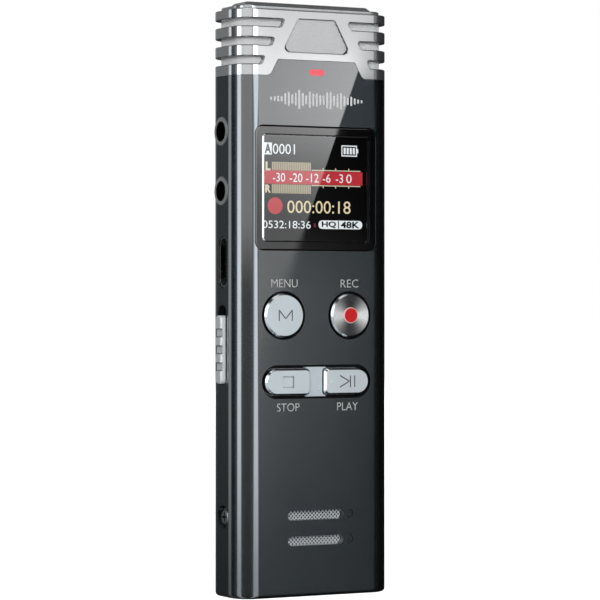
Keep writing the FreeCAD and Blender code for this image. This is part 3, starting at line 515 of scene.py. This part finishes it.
def lettering(words, x0, x1, z0, z1, y, depth, weight=0.0):
    """Points and faces of words fitted to the box x0..x1, z0..z1 in millimetres, standing on a face at y."""
    curve = bpy.data.curves.new("words", "FONT")
    curve.body = words
    curve.resolution_u = 4
    curve.extrude = 0.5
    curve.offset = weight
    holder = put_in_scene("words", curve)
    bpy.context.view_layer.update()
    mesh = bpy.data.meshes.new_from_object(holder.evaluated_get(bpy.context.evaluated_depsgraph_get()))
    spots = [v.co.copy() for v in mesh.vertices]
    faces = [tuple(p.vertices) for p in mesh.polygons]
    bpy.data.objects.remove(holder)
    bpy.data.curves.remove(curve)
    bpy.data.meshes.remove(mesh)
    low_x, high_x = min(s.x for s in spots), max(s.x for s in spots)
    low_y, high_y = min(s.y for s in spots), max(s.y for s in spots)
    points = []
    for s in spots:
        x = x0 + (x1 - x0) * (s.x - low_x) / (high_x - low_x)
        z = z0 + (z1 - z0) * (s.y - low_y) / (high_y - low_y)
        points.append(Vector((x * MM, y - depth * (s.z + 0.5), z * MM)))
    return points, faces


def joined(parts):
    """Several (points, faces) as one."""
    points, faces = [], []
    for more_points, more_faces in parts:
        start = len(points)
        points += more_points
        faces += [tuple(i + start for i in face) for face in more_faces]
    return points, faces


# ---- printing on the front ----
# Places along the face are in millimetres from here to the end of the display picture.
INK = finish("printed_ink", (0.66, 0.67, 0.66), 0.5, mottle=0.05, relief=0.15)
BRIGHT_INK = finish("bright_ink", (0.90, 0.91, 0.91), 0.45, mottle=0.04, relief=0.15)
INK_DEPTH = 0.012 * MM
HAIR = 0.001                          # what a fully rounded end keeps flat


def key_labels():
    """The four plain words by the keys, in raised ink."""
    height, thinning, rise, drop = 1.4, -0.012, 5.65, 4.45
    above = MENU_KEY.z / MM + rise
    below = STOP_KEY.z / MM - drop
    rows = [("MENU", -9.04, -3.85, above), ("REC", 4.84, 8.43, above),
            ("STOP", -7.95, -3.45, below), ("PLAY", 4.13, 8.32, below)]
    words = [lettering(text, x0, x1, z - height / 2, z + height / 2, FRONT, INK_DEPTH, thinning)
             for text, x0, x1, z in rows]
    piece("key_labels", *joined(words), INK, "body")


def wave_mark():
    """A row of upright bars like a sound level trace, printed above the display."""
    above_display, shortest, tallest = 15.65, 0.28, 1.75
    middle = DISPLAY.z / MM + above_display
    count, pitch, width = 27, 0.70, 0.36
    centre = (count - 1) / 2
    bars = []
    for i in range(count):
        t = (i - centre) / centre
        level = abs(math.sin(2.9 * i) * 0.62 + math.sin(1.3 * i + 0.6) * 0.38)
        half = shortest + tallest * (1 - t * t) * (0.25 + 0.75 * level)
        x = (i - centre) * pitch
        outline = rounded(x - width / 2, x + width / 2, middle - half, middle + half, width / 2 - HAIR, 4)
        bars.append(slab(outline, FRONT - INK_DEPTH, INK_DEPTH))
    piece("wave_mark", *joined(bars), BRIGHT_INK, "body")


# ---- the display picture ----
WHITE = (0.92, 0.94, 0.96)
CREAM = (0.95, 0.78, 0.48)
TAN = (0.60, 0.50, 0.33)
RED = (0.62, 0.022, 0.035)
SCALE_TONE = (0.86, 0.75, 0.53)
DARK_RED = (0.25, 0.01, 0.03)
PICTURE_DEPTH = 0.01 * MM


def screen_bar(x0, x1, low, high, radius=0.0, layer=0):
    """A lit bar; heights are from the display's centre, and each layer lies in front of the one before."""
    z = DISPLAY.z / MM
    face = LCD_FACE - (layer + 1) * PICTURE_DEPTH
    return slab(rounded(x0, x1, z + low, z + high, radius), face, PICTURE_DEPTH)


def screen_words(text, x0, x1, low, high, layer=0, weight=0.0):
    z = DISPLAY.z / MM
    face = LCD_FACE - layer * PICTURE_DEPTH
    return lettering(text, x0, x1, z + low, z + high, face, PICTURE_DEPTH, weight)


def screen_disc(x, height, radius):
    return screen_bar(x - radius, x + radius, height - radius, height + radius, radius - HAIR)


def display_picture():
    """What the colour display shows while recording: file number, level meter, clock, time left and quality."""
    white = [
        screen_bar(-9.78, -8.19, 5.89, 8.00),
        screen_words("0001", -8.0, -3.58, 6.03, 7.82),
        screen_words("0532:18:36", -10.02, -0.42, -7.06, -5.71),
        screen_bar(1.14, 10.07, -7.06, -5.55, 0.72),
    ]
    left, right, low, high, rim = 5.81, 8.98, 5.9, 7.88, 0.2     # the battery sign
    white += [
        screen_bar(left, right, low, low + rim),
        screen_bar(left, right, high - rim, high),
        screen_bar(left, left + rim, low + rim, high - rim),
        screen_bar(right - rim, right, low + rim, high - rim),
        screen_bar(right, right + 0.24, 6.5, 7.28),
    ]
    cell, first_cell, cell_pitch, cells = 0.42, left + 0.45, 0.62, 4
    for i in range(cells):
        start = first_cell + cell_pitch * i
        white.append(screen_bar(start, start + cell, low + cell, high - cell))
    marks = (("-30", -7.99, -5.55), ("-20", -4.65, -2.09), ("-12", -1.37, 1.18),
             ("-6", 2.02, 3.58), ("-3", 4.65, 6.14), ("0", 6.78, 7.88))
    white += [screen_words(text, x0, x1, 1.15, 2.7, 1) for text, x0, x1 in marks]
    piece("display_white", *joined(white), lit("lit_white", WHITE, 1.15), "body", slot="lcd")

    dark = [
        screen_words("A", -9.6, -8.37, 6.1, 7.8, 1, 0.03),
        screen_words("HQ", 1.8, 4.7, -6.9, -5.72, 1, 0.03),
        screen_words("48K", 5.65, 9.5, -6.9, -5.72, 1, 0.03),
        screen_bar(5.1, 5.3, -7.0, -5.6, 0, 1),
    ]
    piece("display_cut_outs", *joined(dark), FINISHES["lcd"], "body", slot="lcd")

    tan = [
        screen_bar(-8.19, -0.36, 3.17, 4.64),
        screen_bar(-8.19, -0.36, -0.9, 0.69),
    ]
    columns = lit("lit_levels", TAN, 0.95, pixel=0.36 * MM, gaps=0.35)
    piece("display_levels", *joined(tan), columns, "body", slot="lcd")
    lines = [
        screen_words("L", -9.44, -8.45, 3.07, 4.64, weight=0.05),
        screen_words("R", -9.52, -8.4, -0.81, 0.6, weight=0.05),
        screen_bar(-0.23, 9.66, 3.22, 3.38),
        screen_bar(-0.23, 9.66, 0.52, 0.68),
    ]
    half_tick = 0.08
    for x in (2.08, 4.63, 7.29):
        lines.append(screen_bar(x - half_tick, x + half_tick, 3.38, 3.75))
        lines.append(screen_bar(x - half_tick, x + half_tick, 0.17, 0.52))
    piece("display_scale", *joined(lines), lit("lit_scale", SCALE_TONE, 1.0), "body", slot="lcd")

    red = [screen_bar(-9.70, 10.1, 0.76, 3.14), screen_disc(-7.55, -3.1, 1.5)]
    piece("display_red", *joined(red), lit("lit_red", RED, 1.0), "body", slot="lcd")
    clock = [screen_words("000:00:18", -5.11, 7.66, -4.33, -2.12)]
    piece("display_clock", *joined(clock), lit("lit_cream", CREAM, 1.05), "body", slot="lcd")
    spot = [screen_bar(0.2, 0.6, -6.8, -6.1)]
    piece("display_mark", *joined(spot), lit("lit_dark_red", DARK_RED, 0.7), "body", slot="lcd")


# ---- grilles and the switch slot ----
CLOTH = finish("pale_cloth", (0.74, 0.75, 0.755), 0.8, mottle=0.1, mottle_scale=900.0, relief=0.4)
SEAT_DEPTH = 0.3 * MM                 # of the black frames round openings, which stand in for the shade in the gaps there
MIC_WIRE = 0.13 * MM


def woven(inside, surface, reach, pitch, wire):
    """Points and faces of two sets of wires at 45 degrees, each going over and under the other in turn.

    inside(u, v) tells what part of the sheet is kept; surface(u, v, h) places a point h above the sheet.
    """
    points, faces = [], []
    root = math.sqrt(0.5)
    steps = int(reach / pitch) + 2
    shortest = wire * 0.3                  # the shortest end piece past a crossing
    halvings = 8                           # how closely the sheet's edge is found
    lift = 0.01 * MM                       # a small height that tells which way is up

    def spot(crossing, i, b):
        a = i * pitch
        return (root * (a - b), root * (a + b)) if crossing else (root * (a + b), root * (b - a))

    def edge(crossing, i, b_in, b_out):
        for _ in range(halvings):
            middle = (b_in + b_out) / 2
            if inside(*spot(crossing, i, middle)):
                b_in = middle
            else:
                b_out = middle
        return b_in

    def wire_run(crossing, i, places):
        if len(places) < 2 or places[-1][0] - places[0][0] < wire:
            return
        line = [surface(*spot(crossing, i, b), h) for b, h in places]
        normal_line = [surface(*spot(crossing, i, b), h + lift) for b, h in places]
        start = len(points)
        for n, here in enumerate(line):
            along = (line[min(n + 1, len(line) - 1)] - line[max(n - 1, 0)]).normalized()
            up = (normal_line[n] - here).normalized()
            side = along.cross(up).normalized() * (wire / 2)
            rise = up * (wire / 2)
            points.extend([here - side, here - rise, here + side, here + rise])
        count = len(line)
        for n in range(count - 1):
            for k in range(4):
                p, q = start + 4 * n + k, start + 4 * n + (k + 1) % 4
                faces.append((p, q, q + 4, p + 4))
        faces.append((start + 3, start + 2, start + 1, start))
        last = start + 4 * (count - 1)
        faces.append((last, last + 1, last + 2, last + 3))

    for crossing in (0, 1):
        for i in range(-steps, steps + 1):
            run = []
            for j in range(-steps, steps + 1):
                b = j * pitch
                height = wire * 0.5 * (1 if (i + j + crossing) % 2 else -1)
                if inside(*spot(crossing, i, b)):
                    if not run and j > -steps:
                        first = edge(crossing, i, b, b - pitch)
                        if b - first > shortest:
                            run.append((first, 0.0))
                    run.append((b, height))
                elif run:
                    last = edge(crossing, i, b - pitch, b)
                    if last - run[-1][0] > shortest:
                        run.append((last, 0.0))
                    wire_run(crossing, i, run)
                    run = []
            wire_run(crossing, i, run)
    return points, faces


def framed(outer, inner, depth, place):
    """Points and faces of a flat frame between two outlines; place(u, v, depth) sets each point."""
    points, faces = [], []
    for (a, b), (c, d) in zip(outer, inner):
        points += [place(a, b, 0.0), place(c, d, 0.0), place(c, d, depth), place(a, b, depth)]
    count = len(outer)
    for i in range(count):
        j = (i + 1) % count
        for k in range(4):
            m = (k + 1) % 4
            faces.append((4 * i + k, 4 * j + k, 4 * j + m, 4 * i + m))
    return points, faces


def slot_shade_lip():
    """A black lip that fills the gap between the slide switch's slot and its knob, standing in for the shade
    inside that gap.
    """
    low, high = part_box("slide_knob")
    y, reach = (low.y + high.y) / 2 / MM, (high.y - low.y) / 2 / MM
    z0, z1 = low.z / MM, high.z / MM
    slot_half, below, above = 1.72, 0.22, 1.87
    outer = rounded(y - slot_half, y + slot_half, z0 - below, z1 + above, slot_half - HAIR)
    beside, under, travel, corner = 0.04, 0.06, 1.66, 0.8        # room for the knob
    inner = rounded(y - reach - beside, y + reach + beside, z0 - under, z1 + travel, corner)
    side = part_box("front_shell")[0].x + 0.04 * MM
    lip = framed(outer, inner, SEAT_DEPTH, lambda u, v, depth: Vector((side + depth, u * MM, v * MM)))
    piece("slot_shade_lip", *lip, FINISHES["black_plastic"], "body")


def flat_sheet(x, y, z):
    """Places (u, v) on a sheet that faces the front and is centred on x, z."""
    return lambda u, v, h: Vector((x + u, y - h, z + v))


def speaker_grille():
    middle = (SPEAKER_LOW + SPEAKER_HIGH) / 2
    half = (SPEAKER_HIGH - SPEAKER_LOW) / 2
    wire, pitch = 0.17 * MM, 0.5 * MM

    def inside(u, v):
        return abs(u) < half.x and abs(v) < half.z

    sheet = flat_sheet(middle.x, SPEAKER_LOW.y + wire, middle.z)
    weave = woven(inside, sheet, half.x + half.z, pitch, wire)
    grille = piece("speaker_grille_weave", *weave, FINISHES["speaker_mesh"], "body", True, "speaker_mesh")
    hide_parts("speaker_mesh")


def rounded_polygon(corners, steps=5):
    """Outline in millimetres through (x, z, radius) corners, each rounded by its own arc."""
    outline = []
    for i, (x, z, radius) in enumerate(corners):
        here = Vector((x, z))
        back = (Vector(corners[i - 1][:2]) - here).normalized()
        on = (Vector(corners[(i + 1) % len(corners)][:2]) - here).normalized()
        half = back.angle(on) / 2
        middle = here + (back + on).normalized() * radius / math.sin(half)
        start = here + back * radius / math.tan(half) - middle
        end = here + on * radius / math.tan(half) - middle
        for k in range(steps + 1):
            outline.append(tuple(middle + start.slerp(end, k / steps)))
    return outline


def within(outline, x, z):
    """Whether a point lies inside an outline."""
    count = len(outline)
    crossings = 0
    for i in range(count):
        (x0, z0), (x1, z1) = outline[i], outline[(i + 1) % count]
        if (z0 > z) != (z1 > z) and x < x0 + (x1 - x0) * (z - z0) / (z1 - z0):
            crossings += 1
    return crossings % 2 == 1


def front_grille():
    """The fine mesh in the trapezoid window of the head, over a pale cloth."""
    low, high = GRILLE_LOW / MM, GRILLE_HIGH / MM
    slope, foot_radius, crest_radius = 0.55, 0.8, 0.35
    foot_half = high.x + 0.69 * foot_radius           # the rounded corner falls short of the sharp one
    top_half = foot_half - slope * (high.z - low.z)

    def trapezoid(grow):
        sideways = grow * math.hypot(1.0, slope)
        foot, crest = foot_half + sideways + slope * grow, top_half + sideways - slope * grow
        return rounded_polygon([(-foot, low.z - grow, foot_radius), (foot, low.z - grow, foot_radius),
                                (crest, high.z + grow, crest_radius), (-crest, high.z + grow, crest_radius)])

    mesh_shrink, seat_grow, seat_back = -0.08, 0.13, 0.02 * MM
    outline = trapezoid(mesh_shrink)
    # The black seat round the mesh is a dark frame standing in for the shade at the edge of the recess.
    seat = framed(trapezoid(seat_grow), outline, SEAT_DEPTH,
                  lambda u, v, depth: Vector((u * MM, GRILLE_LOW.y + seat_back + depth, v * MM)))
    piece("front_grille_shade_seat", *seat, FINISHES["black_plastic"], "body")
    wire, pitch = MIC_WIRE, 0.30 * MM
    middle_z = (GRILLE_LOW.z + GRILLE_HIGH.z) / 2
    sheet = flat_sheet(0.0, GRILLE_LOW.y + wire, middle_z)
    reach = GRILLE_HIGH.x + (GRILLE_HIGH.z - GRILLE_LOW.z) / 2
    weave = woven(lambda u, v: within(outline, u / MM, (v + middle_z) / MM), sheet, reach, pitch, wire)
    grille = piece("front_grille_weave", *weave, FINISHES["mic_mesh"], "body", True, "mic_mesh")
    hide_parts("front_mic_grille")
    depth = GRILLE_HIGH.y - GRILLE_LOW.y - 2.2 * wire
    piece("front_grille_cloth", *slab(outline, GRILLE_LOW.y + 2.1 * wire, depth), CLOTH, "body")


def ring_path(half_x, half_y, radius):
    """Length of a rounded rectangle's outline, and what gives its point and outward normal at a length."""
    flat_x, flat_y, quarter = 2 * (half_x - radius), 2 * (half_y - radius), math.pi * radius / 2
    total = 2 * (flat_x + flat_y) + 4 * quarter

    def at(length):
        length %= total
        for side in range(4):
            flat = flat_x if side % 2 == 0 else flat_y
            turn = Matrix.Rotation(side * math.pi / 2, 3, "Z")
            across = (half_x if side % 2 == 0 else half_y) - radius
            out = half_y if side % 2 == 0 else half_x
            if length < flat:
                return turn @ Vector((length - across, -out, 0)), turn @ Vector((0, -1, 0))
            length -= flat
            if length < quarter:
                angle = length / radius
                normal = Vector((math.sin(angle), -math.cos(angle), 0))
                return turn @ (Vector((across, -out + radius, 0)) + normal * radius), turn @ normal
            length -= quarter
        return at(0)

    return total, at


def ring_mesh():
    """The mesh behind the grooves of the head, wrapped round inside the cap, over a pale cloth."""
    wire, pitch = MIC_WIRE, 0.32 * MM
    half_x = RING_HIGH.x - wire
    half_y = RING_HIGH.y - wire
    cap_radius = 3.9 * MM
    corner = cap_radius - (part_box("head_cap")[1].x - half_x)
    total, at = ring_path(half_x, half_y, corner)
    low, high = RING_LOW.z, RING_HIGH.z
    notch_half, notch_top = 9.4 * MM, 94.85 * MM
    hidden_half = 6.2 * MM                # between the grooves, where the cap covers the mesh

    def surface(u, v, h):
        spot, normal = at(u + total / 2)
        return spot + normal * h + Vector((0, 0, v + low))

    def inside(u, v):
        if not (0 < v < high - low and -total / 2 < u < total / 2):
            return False
        spot, normal = at(u + total / 2)
        in_notch = spot.y < 0 and abs(spot.x) < notch_half and v + low < notch_top
        return not (in_notch or abs(normal.y) > 0.99 and abs(spot.x) < hidden_half)

    weave = woven(inside, surface, total / 2 + (high - low), pitch, wire)
    mesh = piece("mic_ring_weave", *weave, FINISHES["mic_mesh"], "body", True, "mic_mesh")
    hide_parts("mic_mesh")

    def band(first, last, z0, z1):
        """A strip of cloth along the ring, between two lengths and two heights."""
        outer, inner = -1.05 * wire, -1.9 * wire
        stations = 160
        points, faces = [], []
        for i in range(stations + 1):
            spot, normal = at(first + (last - first) * i / stations)
            for depth, z in ((outer, z0), (outer, z1), (inner, z1), (inner, z0)):
                points.append(spot + normal * depth + Vector((0, 0, z)))
        for i in range(stations):
            for k in range(4):
                p, q = 4 * i + k, 4 * i + (k + 1) % 4
                faces.append((p, p + 4, q + 4, q))
        last_row = 4 * stations
        faces += [(0, 1, 2, 3), (last_row + 3, last_row + 2, last_row + 1, last_row)]
        return points, faces

    flat_half = half_x - corner
    side_start = flat_half + notch_half
    cloth = [band(side_start, total - side_start + 2 * flat_half, low, notch_top),
             band(1e-6, total, notch_top, high)]
    piece("mic_ring_cloth", *joined(cloth), CLOTH, "body")


# ---- studio ----
# The surround by direction: degrees anticlockwise from +X seen from above, brightness, and tint.
PLAIN = (1.0, 1.0, 1.0)
COOL = (0.93, 1.0, 1.06)
SURROUND = ((0, 0.0, PLAIN), (20, 0.01, PLAIN), (38, 0.03, PLAIN), (62, 0.07, PLAIN), (88, 0.3, PLAIN),
            (104, 0.12, PLAIN), (112, 0.055, PLAIN), (122, 0.055, PLAIN), (127, 0.88, COOL), (140, 0.88, COOL),
            (146, 0.01, COOL), (168, 0.04, COOL), (182, 0.24, COOL), (186, 2.7, COOL), (203, 2.7, COOL),
            (208, 0.12, PLAIN), (240, 0.10, PLAIN), (266, 0.10, PLAIN), (272.5, 2.8, COOL), (288.6, 2.8, COOL),
            (292.6, 0.10, PLAIN), (304, 0.0, PLAIN), (330, 0.0, PLAIN), (350, 0.0, PLAIN))
SURROUND_TOP = 3.0                    # brightness at which the surround's colours reach 1
# How the strips fade towards the floor: the direction's height, then the share that is left.
FADE = ((-0.105, 0.30), (-0.092, 0.39), (-0.070, 0.62), (-0.049, 0.77), (-0.035, 0.83), (-0.017, 0.90),
        (0.004, 0.97), (0.03, 1.0))
# The glow high up in the dark gap between the two brightest strips: its strength, the gap's middle and half
# widths in degrees, and the direction's height where it is full.
GAP_GLOW, GAP_MIDDLE, GAP_INNER, GAP_OUTER, GAP_RISE = 0.62, 236, 24, 32, 0.034


def surround():
    """White behind the object, and upright light strips between dark gaps in its reflections."""
    world = bpy.data.worlds.new("studio")
    world.use_nodes = True
    bpy.context.scene.world = world
    tree = world.node_tree
    tree.nodes.clear()
    direction = add(tree, "ShaderNodeTexCoord").outputs["Generated"]
    parts = add(tree, "ShaderNodeSeparateXYZ")
    link(tree, direction, parts.inputs["Vector"])
    angle = maths(tree, "ARCTAN2", parts.outputs["Y"], parts.outputs["X"])
    turn = maths(tree, "FRACT", maths(tree, "ADD", maths(tree, "DIVIDE", angle, 2 * math.pi), 1.0))
    strips = graded(tree, turn, [(degrees / 360, tinted(tint, level / SURROUND_TOP))
                                 for degrees, level, tint in SURROUND])
    height = parts.outputs["Z"]
    lowest, highest = FADE[0][0], FADE[-1][0]
    fade = graded(tree, ranged(tree, height, lowest, highest, 0.0, 1.0),
                  [((at - lowest) / (highest - lowest), (share,) * 3) for at, share in FADE])
    strips = scaled(tree, strips, fade)
    off_middle = maths(tree, "ABSOLUTE", maths(tree, "SUBTRACT", turn, GAP_MIDDLE / 360))
    in_gap = ranged(tree, off_middle, GAP_INNER / 360, GAP_OUTER / 360, GAP_GLOW / SURROUND_TOP, 0.0)
    gap = maths(tree, "MULTIPLY", in_gap, ranged(tree, height, 0.0, GAP_RISE, 0.0, 1.0, smooth=True))
    strips = blend_colours(tree, gap, strips, PLAIN)
    overhead = ranged(tree, height, 0.93, 0.99, 0.0, 0.4, smooth=True)
    shade = ranged(tree, height, 0.55, 0.85, 0.0, 1.0, smooth=True)
    banded = blend_colours(tree, shade, strips, (0.024,) * 3)
    reflected = add(tree, "ShaderNodeBackground", Strength=SURROUND_TOP)
    link(tree, blend_colours(tree, overhead, banded, PLAIN), reflected.inputs["Color"])
    fill = add(tree, "ShaderNodeBackground")
    fill.inputs["Color"].default_value = (0.95, 0.98, 1.0, 1.0)
    link(tree, ranged(tree, parts.outputs["X"], -0.6, 0.6, 0.14, 0.05), fill.inputs["Strength"])
    seen = add(tree, "ShaderNodeBackground", Strength=1.0)
    seen.inputs["Color"].default_value = (1.0, 1.0, 1.0, 1.0)
    rays = add(tree, "ShaderNodeLightPath")
    soft = add(tree, "ShaderNodeMixShader")
    link(tree, rays.outputs["Is Glossy Ray"], soft.inputs["Fac"])
    link(tree, fill.outputs["Background"], soft.inputs[1])
    link(tree, reflected.outputs["Background"], soft.inputs[2])
    final = add(tree, "ShaderNodeMixShader")
    link(tree, rays.outputs["Is Camera Ray"], final.inputs["Fac"])
    link(tree, soft.outputs["Shader"], final.inputs[1])
    link(tree, seen.outputs["Background"], final.inputs[2])
    output = add(tree, "ShaderNodeOutputWorld")
    link(tree, final.outputs["Shader"], output.inputs["Surface"])


def floor():
    """A pale floor, lit evenly, that only the camera sees; from below it is clear."""
    material, tree = new_tree("pale_floor")
    diffuse = add(tree, "ShaderNodeBsdfDiffuse")
    diffuse.inputs["Color"].default_value = (0.93, 0.93, 0.93, 1.0)
    glow = add(tree, "ShaderNodeEmission", Strength=0.985)
    both = add(tree, "ShaderNodeAddShader")
    link(tree, diffuse.outputs["BSDF"], both.inputs[0])
    link(tree, glow.outputs["Emission"], both.inputs[1])
    clear = add(tree, "ShaderNodeBsdfTransparent")
    side = add(tree, "ShaderNodeNewGeometry")
    mixed = add(tree, "ShaderNodeMixShader")
    link(tree, side.outputs["Backfacing"], mixed.inputs["Fac"])
    link(tree, both.outputs["Shader"], mixed.inputs[1])
    link(tree, clear.outputs["BSDF"], mixed.inputs[2])
    show(tree, mixed.outputs["Shader"])
    reach = 6.0
    mesh = bpy.data.meshes.new("floor")
    mesh.from_pydata([(-reach, -reach, 0), (reach, -reach, 0), (reach, reach, 0), (-reach, reach, 0)], [],
                     [(0, 1, 2, 3)])
    mesh.materials.append(material)
    made = put_in_scene("floor", mesh)
    made.visible_glossy = False
    made.visible_diffuse = False
    made.visible_transmission = False


LIGHT_SIZE = 0.8
LIGHT_AIM = Vector((0, 0, 0.05))


def camera_spot():
    return Vector((-math.sin(CAMERA_TURN) * CAMERA_DISTANCE, -math.cos(CAMERA_TURN) * CAMERA_DISTANCE,
                   CAMERA_HEIGHT))


# Brightness of the panel and of the haze round it by height, and the haze's share by x, in millimetres.
LEVELS_TOP = 110
PANEL_LEVELS = ((30, 0.0), (43, 0.05), (53, 0.18), (61, 0.28), (70, 0.44), (76, 0.60), (80, 0.84), (84, 1.0),
                (94, 1.0), (99, 0.75), (110, 0.65))
HAZE_LEVELS = ((0, 0.06), (12, 0.08), (30, 0.26), (45, 0.36), (54, 0.36), (60, 0.22), (66, 0.05), (90, 0.03),
               (110, 0.03))
HAZE_HALF = 12.5
HAZE_ACROSS = ((-12.5, 1.0), (-9.5, 0.76), (-5.0, 0.51), (0.0, 0.40), (6.0, 0.25), (11.0, 0.14), (12.5, 0.0))
PANEL_LEFT, PANEL_RIGHT = 1.20, 1.72  # brightness of the bright part near its two sides
HEAD_BRIGHT, HEAD_DIM = 1.1, 0.38     # brightness over the head, left and right of the slanted edge
BESIDE = 1.4                          # brightness past the front's left side
PANEL_AWAY = 0.20                     # metres in front of the recorder


def front_softbox():
    """A glowing panel that the front mirrors towards the camera.

    The panel is drawn in the front face's own coordinates and enlarged from the camera's mirror image, so what
    it shows at (x, z) is seen in the front face there: a bright part left of a slanted edge, fading below.
    """
    material, tree = new_tree("softbox")
    parts = add(tree, "ShaderNodeSeparateXYZ")
    link(tree, own_place(tree), parts.inputs["Vector"])
    x, z = parts.outputs["X"], parts.outputs["Z"]
    top, foot = Vector((8.6, 93.6)) * MM, Vector((-3.9, 61.2)) * MM      # the slanted edge
    run = (top.x - foot.x) / (top.y - foot.y)
    edge_x = maths(tree, "MULTIPLY_ADD", maths(tree, "SUBTRACT", z, foot.y), run, foot.x)
    left_of = maths(tree, "SUBTRACT", edge_x, x)
    softness = ranged(tree, z, 48 * MM, 68 * MM, 7 * MM, 0.2 * MM)
    lit_side = ranged(tree, maths(tree, "DIVIDE", left_of, softness), -0.5, 0.5, 0.0, 1.0, smooth=True)
    rise = ranged(tree, z, 0.0, LEVELS_TOP * MM, 0.0, 1.0)
    panel_levels, haze_levels = (
        graded(tree, rise, [(at / LEVELS_TOP, (level,) * 3) for at, level in levels], "B_SPLINE")
        for levels in (PANEL_LEVELS, HAZE_LEVELS))
    head_from = ranged(tree, maths(tree, "ABSOLUTE", x), 8.8 * MM, 9.4 * MM, 95.0 * MM, 91.4 * MM)
    head = ranged(tree, maths(tree, "SUBTRACT", z, head_from), 0.0, 0.8 * MM, 0.0, 1.0)
    across = ranged(tree, x, -9.0 * MM, 7.5 * MM, PANEL_LEFT, PANEL_RIGHT)
    strength = maths(tree, "ADD", maths(tree, "MULTIPLY", across, maths(tree, "SUBTRACT", 1.0, head)),
                     maths(tree, "MULTIPLY", head, HEAD_BRIGHT))
    bright = maths(tree, "MULTIPLY", maths(tree, "MULTIPLY", panel_levels, lit_side), strength)
    sweep = ranged(tree, x, -HAZE_HALF * MM, HAZE_HALF * MM, 0.0, 1.0)
    across_levels = graded(tree, sweep, [((at / HAZE_HALF + 1) / 2, (level,) * 3) for at, level in HAZE_ACROSS])
    haze = maths(tree, "MULTIPLY", across_levels, haze_levels)
    beside = ranged(tree, x, -14.6 * MM, -14.2 * MM, BESIDE, 0.0)
    over_head = maths(tree, "MULTIPLY", head, HEAD_DIM)
    total = maths(tree, "MAXIMUM", maths(tree, "ADD", maths(tree, "ADD", bright, haze), beside), over_head)
    glow = add(tree, "ShaderNodeEmission")
    link(tree, total, glow.inputs["Strength"])
    show(tree, glow.outputs["Emission"])

    left, right, low, high = -17.5 * MM, 14.5 * MM, -20 * MM, 125 * MM
    mesh = bpy.data.meshes.new("softbox")
    mesh.from_pydata([(left, 0, low), (right, 0, low), (right, 0, high), (left, 0, high)], [], [(0, 1, 2, 3)])
    mesh.materials.append(material)
    panel = put_in_scene("softbox", mesh)
    eye = camera_spot()
    mirrored = Vector((eye.x, 2 * FRONT - eye.y, eye.z))
    growth = (mirrored.y + PANEL_AWAY) / (mirrored.y - FRONT)
    panel.scale = (growth, growth, growth)
    panel.location = mirrored * (1 - growth) + Vector((0, FRONT, 0)) * growth
    panel.visible_camera = False
    panel.visible_shadow = False
    panel.visible_diffuse = False
    panel.visible_transmission = False


def area_light(name, spot, power):
    """A large soft light, aimed at the recorder's middle, that gives no reflections of its own."""
    data = bpy.data.lights.new(name, "AREA")
    data.shape = "SQUARE"
    data.size = LIGHT_SIZE
    data.energy = power
    made = put_in_scene(name, data)
    made.location = spot
    made.rotation_euler = (LIGHT_AIM - Vector(spot)).to_track_quat("-Z", "Y").to_euler()
    made.visible_camera = False
    made.visible_glossy = False


def camera():
    data = bpy.data.cameras.new("camera")
    data.lens = CAMERA_LENS
    data.sensor_width = SENSOR_WIDTH
    data.clip_start, data.clip_end = NEAREST_SEEN, FARTHEST_SEEN
    data.shift_x = CAMERA_SHIFT
    made = put_in_scene("camera", data)
    made.location = camera_spot()
    made.rotation_euler = (math.pi / 2, 0, -CAMERA_TURN)
    bpy.context.scene.camera = made


paint_parts()
key_labels()
wave_mark()
display_picture()
speaker_grille()
front_grille()
ring_mesh()
slot_shade_lip()
surround()
floor()
front_softbox()
area_light("key_light", (-0.5, -1.0, 0.25), 12.3)
area_light("back_light", (0.12, 1.0, 0.6), 8.0)
camera()
bpy.context.scene.view_settings.view_transform = "Standard"
